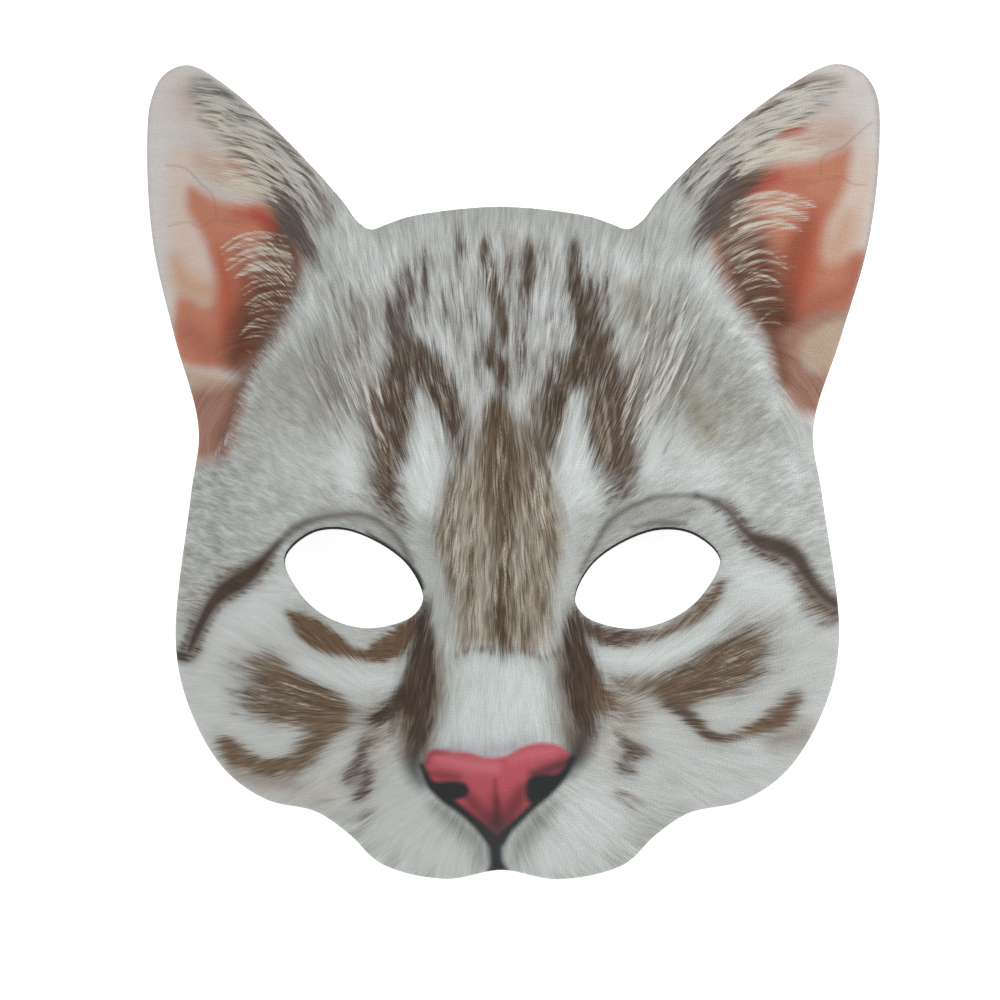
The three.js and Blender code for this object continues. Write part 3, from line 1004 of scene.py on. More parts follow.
STRIPES: tuple[Mark, ...] = (
    dark("left crown streaks", Ink.ASH, (-20.5, 60, 0.8), (-23, 53, 1.6), (-26, 47, 3.2), (-27, 40, 4),
        (-26, 35, 4.2), soft=2.4, strength=0.42),
    dark("left crown stripe", Ink.ASH, (-26, 38, 2.6), (-25.5, 33, 4.4), (-22.5, 29, 5.2), strength=0.85),
    dark("left inner diagonal", Ink.BARK, (-21, 30, 4), (-17.4, 27.4, 4), (-15, 22, 3.6), (-13.5, 17.5, 3.2),
        (-11, 12.5, 2.8), (-10, 8, 2.2), (-9.5, 3, 1.2), strength=0.9),
    dark("left outer band", Ink.UMBER, (-26, 31, 2.6), (-28, 25, 3), (-31, 19, 4.4), (-30, 14, 4.4),
        (-29.2, 8, 4.2), (-30, 2, 3.8), (-30, -3, 3.6), (-29.2, -8, 3), (-27, -13, 1.2), soft=2.2,
        strength=0.95),
    dark("left outer wisps", Ink.UMBER, (-33, 25, 1.6), (-35.4, 20, 2.6), (-35, 12, 1.6), soft=3,
        strength=0.42),
    dark("right crown streaks", Ink.UMBER, (26, 55, 1.2), (27.5, 48, 1.4), (28, 41, 1.4), soft=2.4,
        strength=0.2),
    dark("right crown stripe", Ink.BARK, (20, 58, 1.6), (20.6, 52, 2.4), (22, 46, 3.2), (24.4, 40, 3.8),
        (25.5, 33, 4.8), (23, 28.5, 4.8), strength=0.9),
    dark("right inner diagonal", Ink.BARK, (22, 29.5, 4.4), (18, 27.4, 4.2), (15.8, 22, 3.8), (14.8, 15, 3.4),
        (13.4, 9, 2.6), (12.6, 4, 1.6), strength=0.9),
    dark("right outer band", Ink.UMBER, (27, 34, 3.2), (29.5, 28, 3.6), (31.4, 21, 5), (30.6, 14, 5.6),
        (31, 8, 5.2), (31.6, 2, 4.8), (32.8, -3, 2.8), (31.6, -8.5, 1), soft=2.4, strength=0.92),
    dark("right outer wisps", Ink.UMBER, (35, 28, 1.4), (36.5, 21, 1.8), (36.5, 12, 1.8), (36, 0, 1.4),
        soft=2.6, strength=0.45),
    dark("centre left stripe", Ink.UMBER, (-4, 63, 1), (-2.6, 55, 1.6), (-0.9, 48, 1.7), (0.9, 42, 1.4),
        (2, 35, 0.9), soft=1.3, strength=0.95, comb=2.5),
    dark("centre right stripe", Ink.BARK, (8.6, 60, 1.4), (8.2, 53, 1.7), (8.2, 47, 1.1), (8.8, 41, 0.5),
        soft=1.3, strength=0.85, comb=3),
    dark("centre right thread", Ink.UMBER, (5.2, 52, 0.7), (6.4, 46, 0.6), (6, 40, 0.5), soft=1,
        strength=0.55),
    dark("forehead spot", Ink.BARK, (-2.4, 33, 1.2), (-0.8, 30, 2.2), (1.4, 28.6, 2), (1.4, 25, 1.4),
        soft=1.7, comb=1.5),
    dark("spot thread", Ink.UMBER, (6, 36, 0.6), (6.8, 32, 0.8), (7, 27.5, 0.6), soft=1, strength=0.6),
    dark("left top thread", Ink.ASH, (-10.4, 64, 1), (-10, 59, 1.5), (-10, 55, 1), soft=1.5, strength=0.95),
    dark("left mid shade", Ink.ASH, (-8.5, 47, 1.6), (-9, 40, 2), soft=3, strength=0.3),
    dark("right mid shade", Ink.ASH, (14, 57, 1.2), (15, 48, 1.6), soft=3, strength=0.25),
    dark("right top thread", Ink.ASH, (20.4, 64, 0.6), (20.2, 58, 0.8), soft=1.2, strength=0.5),
    dark("apex thread", Ink.UMBER, (1, 26, 0.9), (0.8, 19, 1.2), soft=1.4, strength=0.55),
    dark("bridge core", Ink.CORE, (0.2, 21, 1.4), (0, 14, 3.4), (0.4, 6, 4.6), (1, -2, 4.2), (2, -10, 3),
        (2.4, -20, 1.6), (1.4, -30, 1.8), (1.4, -38, 2.6), (2, -45, 3), soft=2.6, strength=0.85),
    patch("bridge fan", Ink.STRAND, (0, 20), (6, 9), (10, 1), (14, -7), (16.5, -16), (14.5, -25), (13.5, -36),
        (12, -46), (-10.5, -46), (-12, -36), (-13, -26), (-16, -17), (-13, -7), (-9, 1), (-6, 9), soft=4,
        strength=0.16, comb=3),
    dark("left bridge edge", Ink.DUN, (-13.5, -6, 1), (-15, -13, 1.8), (-15, -19, 1.8), (-12.6, -25, 1),
        soft=2.4, strength=0.4),
    dark("right bridge edge", Ink.DUN, (12.5, -8, 1.4), (13.4, -17, 1.6), (12.4, -27, 1.6), (11.6, -43, 1.4),
        soft=2.2, strength=0.34),
    dark("left bridge fringe", Ink.DUN, (-11.5, -49, 0.5), (-6, -47, 0.7), (-1, -47.4, 0.6), soft=0.9,
        strength=0.6, comb=1),
    dark("right bridge fringe", Ink.DUN, (2, -47, 0.6), (7, -47.4, 0.7), (12, -49.4, 0.6), (16.5, -48, 0.6),
        soft=0.9, strength=0.6, comb=1),
    dark("left diagonal trail", Ink.STRAND, (-12, 9, 1.6), (-11.5, 2, 1.4), (-11, -4, 1), soft=2.6,
        strength=0.35),
    dark("left band shade", Ink.BARK, (-25, 25, 2.6), (-25.4, 19, 2.4), (-26, 13, 2), (-26.4, 7, 1.4),
        soft=2.2, strength=0.85),
    dark("left apex shade", Ink.STRAND, (-10, 25, 1.6), (-9.6, 20, 1.4), (-7.6, 14, 1.2), soft=2.4,
        strength=0.45),
    dark("right diagonal trail", Ink.STRAND, (14, 11, 1.6), (13, 4, 2.2), (12, -4, 1.8), soft=2.4,
        strength=0.5),
    dark("right apex shade", Ink.STRAND, (10.4, 23, 1.4), (9.6, 18, 2), (8, 13, 2.6), (9, 6, 2.4),
        (9.4, -2, 2), (8.6, -9, 1.4), soft=2.4, strength=0.72),
    dark("right band shade", Ink.UMBER, (25, 24, 1.8), (25.6, 19, 2), (25.6, 13, 1.6), (27, 7, 1.2), soft=2.2,
        strength=0.75),
)

EYE_LINES: tuple[Mark, ...] = (
    dark("left eye corner halo", Ink.DUN, (-66, -25, 1.5), (-74, -28, 2.4), (-80, -32.4, 2.2),
        (-85, -37, 2.8), (-87.6, -41, 2), soft=2.6, strength=0.55),
    dark("left eye corner body", Ink.UMBER, (-62.6, -21.6, 1), (-66, -26, 2), (-70, -29, 3), (-74, -31.6, 3),
        (-77.6, -34, 2.5), (-80.4, -37.6, 2.2), (-83.4, -43, 2), (-86, -48.4, 1.8), soft=1.5, strength=1.05,
        comb=1.5),
    line("left eye corner", Ink.TEAR, (-60.5, -19, 0.7), (-64, -23, 1.3), (-68, -27.2, 2.3), (-72, -30, 2.8),
        (-76, -32.4, 2.5), (-79.8, -36.4, 2), (-82.6, -41, 1.7), (-84.8, -45.4, 1.6), (-86.4, -49, 1.1),
        soft=1.3),
    dark("left eye corner end", Ink.BARK, (-84.4, -45.4, 1.4), (-86.8, -49.4, 2.4), (-89.4, -50.4, 1.8),
        soft=1.6, comb=2),
    line("left lid line", Ink.LASH, (-61, -20, 0.8), (-57, -16, 1.1), (-52, -13.4, 0.9), (-45, -11.8, 0.6),
        (-37, -11.4, 0.6), (-31, -14, 0.7), (-27, -18, 0.7), (-23.5, -24, 0.7), soft=1, strength=0.7),
    dark("left under eye", Ink.DUN, (-57.4, -38.2, 1), (-54, -40.6, 2.6), (-49.8, -43.8, 3.6),
        (-45, -46.4, 2.8), (-40, -48.4, 1.5), (-35, -49.2, 1.8), (-30, -47.2, 3.4), (-26.5, -44.6, 3.2),
        (-23.4, -42, 2.4), soft=1.7, strength=1.05, comb=1.5),
    dark("left inner band", Ink.TEAR, (-20, -35, 1.2), (-20.6, -42, 3), (-20.6, -50, 3.4), (-20.6, -58, 3.8),
        (-20.6, -66, 3), (-21.5, -74, 2.4), soft=2.4, strength=1.05, comb=3),
    dark("left inner tail", Ink.TEAR, (-22, -54, 2.6), (-24.6, -59.6, 3), (-28.6, -63.6, 2.8),
        (-34, -66.8, 1.8), soft=2.2, comb=2),
    dark("left muzzle tail", Ink.DUN, (-26, -67, 2.4), (-30, -70, 2), (-36, -73, 1.8), soft=3, strength=0.5),
    dark("right eye corner halo", Ink.DUN, (60, -10, 1.5), (68, -18.4, 2), (75, -21.8, 2.4), (80, -27.5, 2.4),
        (84, -34, 2.4), (88, -38, 2.8), soft=2.4, strength=0.5, comb=3),
    dark("right eye corner tail", Ink.DUN, (83.4, -33, 1.2), (86.8, -37.6, 2.6), (90, -39, 2.6), soft=2,
        strength=0.8),
    dark("right eye corner body", Ink.UMBER, (58, -8, 1), (62, -11, 1.1), (66, -16.4, 1.5), (70, -19.4, 2.6),
        (74, -21, 2.8), (78, -23, 2.6), (81, -26.5, 2.4), (84, -31, 2.1), (87, -34.6, 2.2), (90, -36.6, 2.2),
        soft=1.7, comb=1.5),
    line("right eye corner", Ink.TEAR, (53, -6.2, 0.6), (58, -8, 0.8), (61.5, -10.5, 0.8), (64, -14, 0.9),
        (67, -17.2, 1.4), (70.5, -19.2, 2.3), (75, -20.6, 2.4), (79, -22.8, 2.2), (81.5, -26.6, 1.9),
        (84.5, -31, 1.6), (87.5, -34.4, 1.6), (90, -36, 1.7), soft=1.3, strength=0.95),
    line("right lid line", Ink.LASH, (22, -26.5, 0.5), (25.5, -20, 0.6), (29.5, -13.5, 0.8), (34, -10, 0.7),
        (40, -7.2, 0.6), (46, -6.2, 0.6), (53, -6.2, 0.8), soft=1, strength=0.7),
    line("right lash", Ink.LASH, (36, -14.9, 0.5), (42, -13.6, 0.8), (50, -13.9, 0.6), soft=0.8,
        strength=0.65),
    line("right lid fold", Ink.LASH, (40, -13.5, 0.3), (46, -12, 0.4), (52, -9.8, 0.4), soft=0.8,
        strength=0.45),
    dark("right under eye inner", Ink.UMBER, (22.6, -41, 1.6), (28, -43.8, 2.2), (34, -44.6, 2.2),
        (37, -44.2, 1), soft=1.6, strength=0.95, comb=1.5),
    dark("right under eye", Ink.DUN, (36, -44.6, 1.6), (42, -43.8, 1.4), (47, -42, 1.7), (52, -38.8, 2.3),
        (56, -35, 2.2), (60, -29.4, 1.4), soft=1.6, strength=0.75, comb=1.5),
    dark("right inner band", Ink.TEAR, (20.2, -36, 1.2), (20.4, -42, 2.6), (21.4, -48.5, 3.8),
        (22.6, -54, 4.2), (23.4, -60, 4), (23.6, -66, 3), (22.6, -72, 2), soft=2.4, strength=1.05, comb=3),
    dark("right inner wing", Ink.DUN, (26.5, -58.6, 2.8), (31, -62, 3.2), (36, -65.4, 1.8), soft=3,
        strength=0.75),
)

CHEEKS: tuple[Mark, ...] = (
    patch("left cheek feather", Ink.CHEEK, (-58, -47.5), (-67, -46.5), (-74, -51), (-73.5, -58), (-71, -65),
        (-62, -68), (-56, -58), soft=3, strength=0.38, comb=6),
    patch("left cheek patch", Ink.CHEEK, (-66.4, -51.6), (-61, -51), (-55, -54.4), (-48.5, -57), (-42, -60.5),
        (-38, -63.5), (-39.5, -67), (-42.5, -70), (-46.5, -74), (-50, -78.4), (-54.5, -81.6), (-62, -82.4),
        (-67, -80.4), (-60, -77.6), (-56.5, -75.4), (-53.6, -71.6), (-55, -69), (-61, -68), (-66, -65),
        (-65.6, -58), soft=2, strength=0.97, comb=4),
    dark("left low patch", Ink.CHEEK, (-76.4, -74, 2), (-74, -76.4, 3.4), (-69.6, -78.6, 3),
        (-63, -80.8, 1.6), comb=2),
    dark("left outer whisker spot", Ink.UMBER, (-36, -72.6, 1.8), (-38, -78.6, 2.2), (-41, -82.4, 2.2),
        strength=0.75, comb=1.5),
    dark("left inner whisker spot", Ink.UMBER, (-35.4, -81, 1.8), (-36.5, -85, 1.8), (-38.5, -87.5, 1.2),
        strength=0.85, comb=1.5),
    dark("left low whisker spot", Ink.DUN, (-35.5, -91.5, 2.4), (-37.5, -94.5, 1.6), soft=2.4, strength=0.4,
        comb=2),
    dark("left jowl fleck", Ink.DUN, (-58, -85, 1), (-54, -86.4, 1), soft=1.8, strength=0.4),
    dark("left lip fleck", Ink.ASH, (-50, -89.6, 1.2), (-46.5, -89.6, 0.8), soft=1.5, strength=0.4),
    patch("right cheek feather", Ink.CHEEK, (58, -42.4), (66, -38), (73, -37), (76, -42), (74.5, -50),
        (73, -56), (66, -61), (58, -62), (56, -52), soft=3, strength=0.36, comb=6),
    patch("right cheek patch", Ink.CHEEK, (68, -44.2), (64, -43.8), (58.5, -47), (52, -51), (45, -54.6),
        (36, -55), (30, -55.6), (36, -58.4), (41.5, -60.4), (47, -63.4), (52, -63), (57, -60.4), (62, -58.5),
        (67.5, -55), (69.5, -50), soft=2, strength=0.97, comb=4),
    dark("right cheek hook", Ink.UMBER, (45.5, -61, 1.4), (49.6, -64.6, 1.8), (53, -67.6, 1.8),
        (56, -70.6, 1.5), (60, -72.2, 0.9), soft=1.4, comb=1.5),
    dark("right low patch", Ink.CHEEK, (60.5, -72.2, 0.8), (65.5, -70.6, 1.3), (70.5, -68.6, 2.2),
        (74.8, -66.4, 3.2), (77.6, -63.2, 2.6), (79, -60.4, 1.2), soft=1.8, comb=2),
    dark("right inner whisker spot", Ink.UMBER, (32.6, -70.5, 1.4), (35, -73.5, 1.8), (39.5, -75.5, 1.4),
        strength=0.75, comb=1.5),
    dark("right outer whisker spot", Ink.UMBER, (35.5, -76.5, 1.7), (33, -79, 1.9), (36, -81, 1.4),
        strength=0.7, comb=1.5),
    dark("right low whisker spot", Ink.DUN, (32.5, -86, 1.8), (35.5, -89, 1.9), soft=2.2, strength=0.6,
        comb=2),
    dark("right jowl fleck", Ink.ASH, (44.5, -82.6, 1), (47.5, -83, 0.8), soft=1.6, strength=0.35),
    dark("right lip fleck", Ink.ASH, (43.5, -92, 1.2), (48, -91, 1), soft=1.6, strength=0.45),
)

EAR_HAIR: tuple[Mark, ...] = (
    wash("left ear band fur", Ink.SIDE_FUR, (-48, 70, 4), (-58, 80, 6.5), (-68.6, 90, 6), (-76, 96.6, 4.4),
        (-83, 103, 2.6), (-87, 106.6, 1), soft=3, hair=2.4),
    wash("left ear front grey", Ink.STREAK, (-54, 81, 2), (-61, 87, 3.4), (-68, 92.5, 2.8), soft=3,
        strength=0.7, hair=2),
    wash("left ear band tan", Ink.TAN, (-84.5, 97, 0.8), (-79, 94.6, 1.6), (-74, 92.4, 1), soft=2,
        strength=0.85, hair=1.4),
    wash("left ear streak", Ink.EAR_GLOW, (-75, 85, 0.8), (-70.5, 82.2, 1.7), (-66.4, 79, 1.2), soft=2,
        hair=0.4),
    wash("left ear red", Ink.EAR_RED, (-67.6, 69.8, 1), (-64.4, 68.4, 1.7), (-62.4, 66.4, 1.2), soft=2.2,
        strength=0.75, hair=0.3),
    wash("right ear band fur", Ink.SIDE_FUR, (52, 76, 3), (59, 82, 5.5), (69, 92, 6), (76, 98.4, 4.2),
        (83, 103.6, 2.6), (89, 106.6, 1), soft=3, hair=2.4),
    wash("right ear front grey", Ink.STREAK, (53, 79.5, 2), (60, 86, 3.4), (67, 92.5, 2.8), soft=3,
        strength=0.75, hair=2),
    wash("right ear white", Ink.SNOW, (74, 99.6, 1), (79, 101.2, 1.8), (86, 101.8, 1), soft=2, strength=0.85,
        hair=1),
    wash("right ear band tan", Ink.TAN, (76, 104, 0.8), (81, 105.2, 1.4), (88, 106.8, 0.8), soft=1.8,
        strength=0.85, hair=1.2),
    wash("right ear streak", Ink.EAR_GLOW, (73.4, 89.6, 0.8), (77, 92, 1.7), (81, 94.6, 1), soft=2, hair=0.4),
    wash("right ear red", Ink.EAR_RED, (65.8, 75.2, 0.8), (70, 77.8, 1.8), (74, 80, 1.4), soft=2.2,
        strength=0.75, hair=0.3),
    dark("left ear band", Ink.ASH, (-66, 82, 1.4), (-62, 76.5, 2.4), (-57.6, 69.5, 2.8), (-53.4, 62.5, 2.8),
        (-50.6, 57.6, 2.2), soft=2.2, comb=4),
    dark("left ear front shade", Ink.ASH, (-67.6, 91.6, 1.4), (-62.4, 87, 2), (-57.6, 82, 1.6), soft=2.4,
        strength=0.5, comb=5),
    dark("left ear upper shade", Ink.ASH, (-79, 95, 1), (-74, 91, 1.6), (-69, 86, 2), soft=2.6, strength=0.4,
        comb=6),
    dark("left ear hollow hair", Ink.EAR_DARK, (-58, 52, 2), (-61, 44, 2.6), (-67, 35, 2.4), (-72, 27, 1.6),
        soft=2.4, strength=0.6),
    dark("right ear band", Ink.ASH, (57, 65, 1.8), (59, 70, 2.6), (61, 75, 2.6), (64.5, 80, 2.2),
        (67, 84, 1.2), soft=2.2, strength=0.9, comb=3),
    dark("right ear band root", Ink.ASH, (52.6, 61, 1), (54.4, 65.5, 2), (57, 71, 2.2), soft=2.4,
        strength=0.75, comb=4),
    dark("right ear band hair", Ink.EAR_SOOT, (62, 72, 1.8), (65, 76.6, 2.8), (69.6, 80.4, 2.2), soft=2.6,
        strength=0.75, comb=3),
    dark("right ear front shade", Ink.ASH, (56, 83, 1.4), (61, 87.6, 2), (66, 92, 1.6), soft=2.4,
        strength=0.5, comb=5),
    dark("right ear upper shade", Ink.ASH, (65, 87, 2), (71, 92, 1.6), (76, 95, 1), soft=2.6, strength=0.4,
        comb=6),
    dark("right ear hollow hair", Ink.EAR_DARK, (60, 57, 2), (65, 50, 2.8), (70, 42, 2.4), soft=2.4,
        strength=0.6),
    fuzz("left ear upper fuzz", Ink.WISP, (-63, 87), (-63, 78), (-69, 76), (-78, 76), (-82, 88), (-87, 100),
        (-82, 104), (-72, 95), strength=0.3),
    fuzz("left ear mid fuzz", Ink.WISP, (-61, 79), (-60, 73), (-69, 71), (-77, 73.5), (-75, 79), (-68, 81),
        strength=0.28),
    fuzz("left ear fuzz", Ink.WISP, (-58, 61), (-57, 54), (-62, 52), (-69, 53), (-74, 58), (-72, 61),
        (-65, 63), strength=0.26),
    fuzz("left ear low fuzz", Ink.WISP, (-58, 49), (-59, 43), (-66, 37), (-68, 41), (-67, 47), strength=0.14),
    fuzz("right ear upper fuzz", Ink.WISP, (65, 91), (66, 84), (72, 82), (82, 86), (86, 95), (89, 104),
        (84, 106), (74, 98), strength=0.3),
    fuzz("right ear mid fuzz", Ink.WISP, (65, 84), (69, 82.6), (78, 85.4), (86, 86.4), (84, 89.6), (74, 88.4),
        strength=0.3),
    fuzz("right ear fuzz", Ink.WISP, (64, 73.6), (62, 66), (67, 63.2), (74, 63.6), (80, 67), (82, 73),
        (72, 74.4), strength=0.26),
    fuzz("right ear root fuzz", Ink.WISP, (57, 63), (59.6, 57), (67, 57.6), (68.6, 62), (62, 65.4), soft=2,
        strength=0.34),
    fuzz("right ear low fuzz", Ink.WISP, (61, 58), (64, 52), (70, 43), (73, 45), (73, 51), (70, 57),
        strength=0.14),
    Mark("left fur edge", Layer.PALE, Ink.PALE_FUR, ((-51, 54, 0.8), (-55.4, 45.5, 1), (-60.4, 36.5, 1),
        (-66, 28, 1), (-70.4, 20, 0.9), (-73, 12, 0.8), (-78, 5, 0.6)), soft=1.6, strength=0.7, comb=2),
    Mark("right fur edge", Layer.PALE, Ink.PALE_FUR,
        ((55, 61, 0.8), (58.6, 54, 1), (64, 44.5, 1), (70.4, 35.5, 1), (73, 26, 1), (78, 16.5, 0.8)),
        soft=1.6, strength=0.7, comb=2),
    # Painted shade: thin grey lines along the ears' outer cut edges, where the rounded edge rolls away from
    # the light.
    line("left ear edge shade line", Ink.EDGE, (-92, 111.6, 0.3), (-97, 109.2, 0.4), (-100.4, 102.6, 0.4),
        (-101.2, 89.5, 0.4), (-98.4, 63, 0.4), (-91.2, 37, 0.3), soft=0.7, strength=0.4),
    line("right ear edge shade line", Ink.EDGE, (92, 111.6, 0.3), (97, 109.2, 0.4), (100.4, 102.6, 0.5),
        (101.2, 89.5, 0.5), (98.4, 63, 0.4), (91.2, 37, 0.3), soft=0.7, strength=0.5),
    dark("left ear edge", Ink.ASH, (-84, 108, 0.3), (-76, 102.6, 0.6), (-70, 97.6, 0.8), (-62, 91, 0.8),
        (-52, 80.5, 0.6), (-45, 71.5, 0.3), soft=1.1, strength=0.7, comb=2),
    dark("right ear edge", Ink.ASH, (44, 73.5, 0.3), (50, 79.5, 0.6), (62, 91, 0.8), (72, 99.4, 0.7),
        (80, 105.4, 0.3), soft=1.1, strength=0.7, comb=2),
)

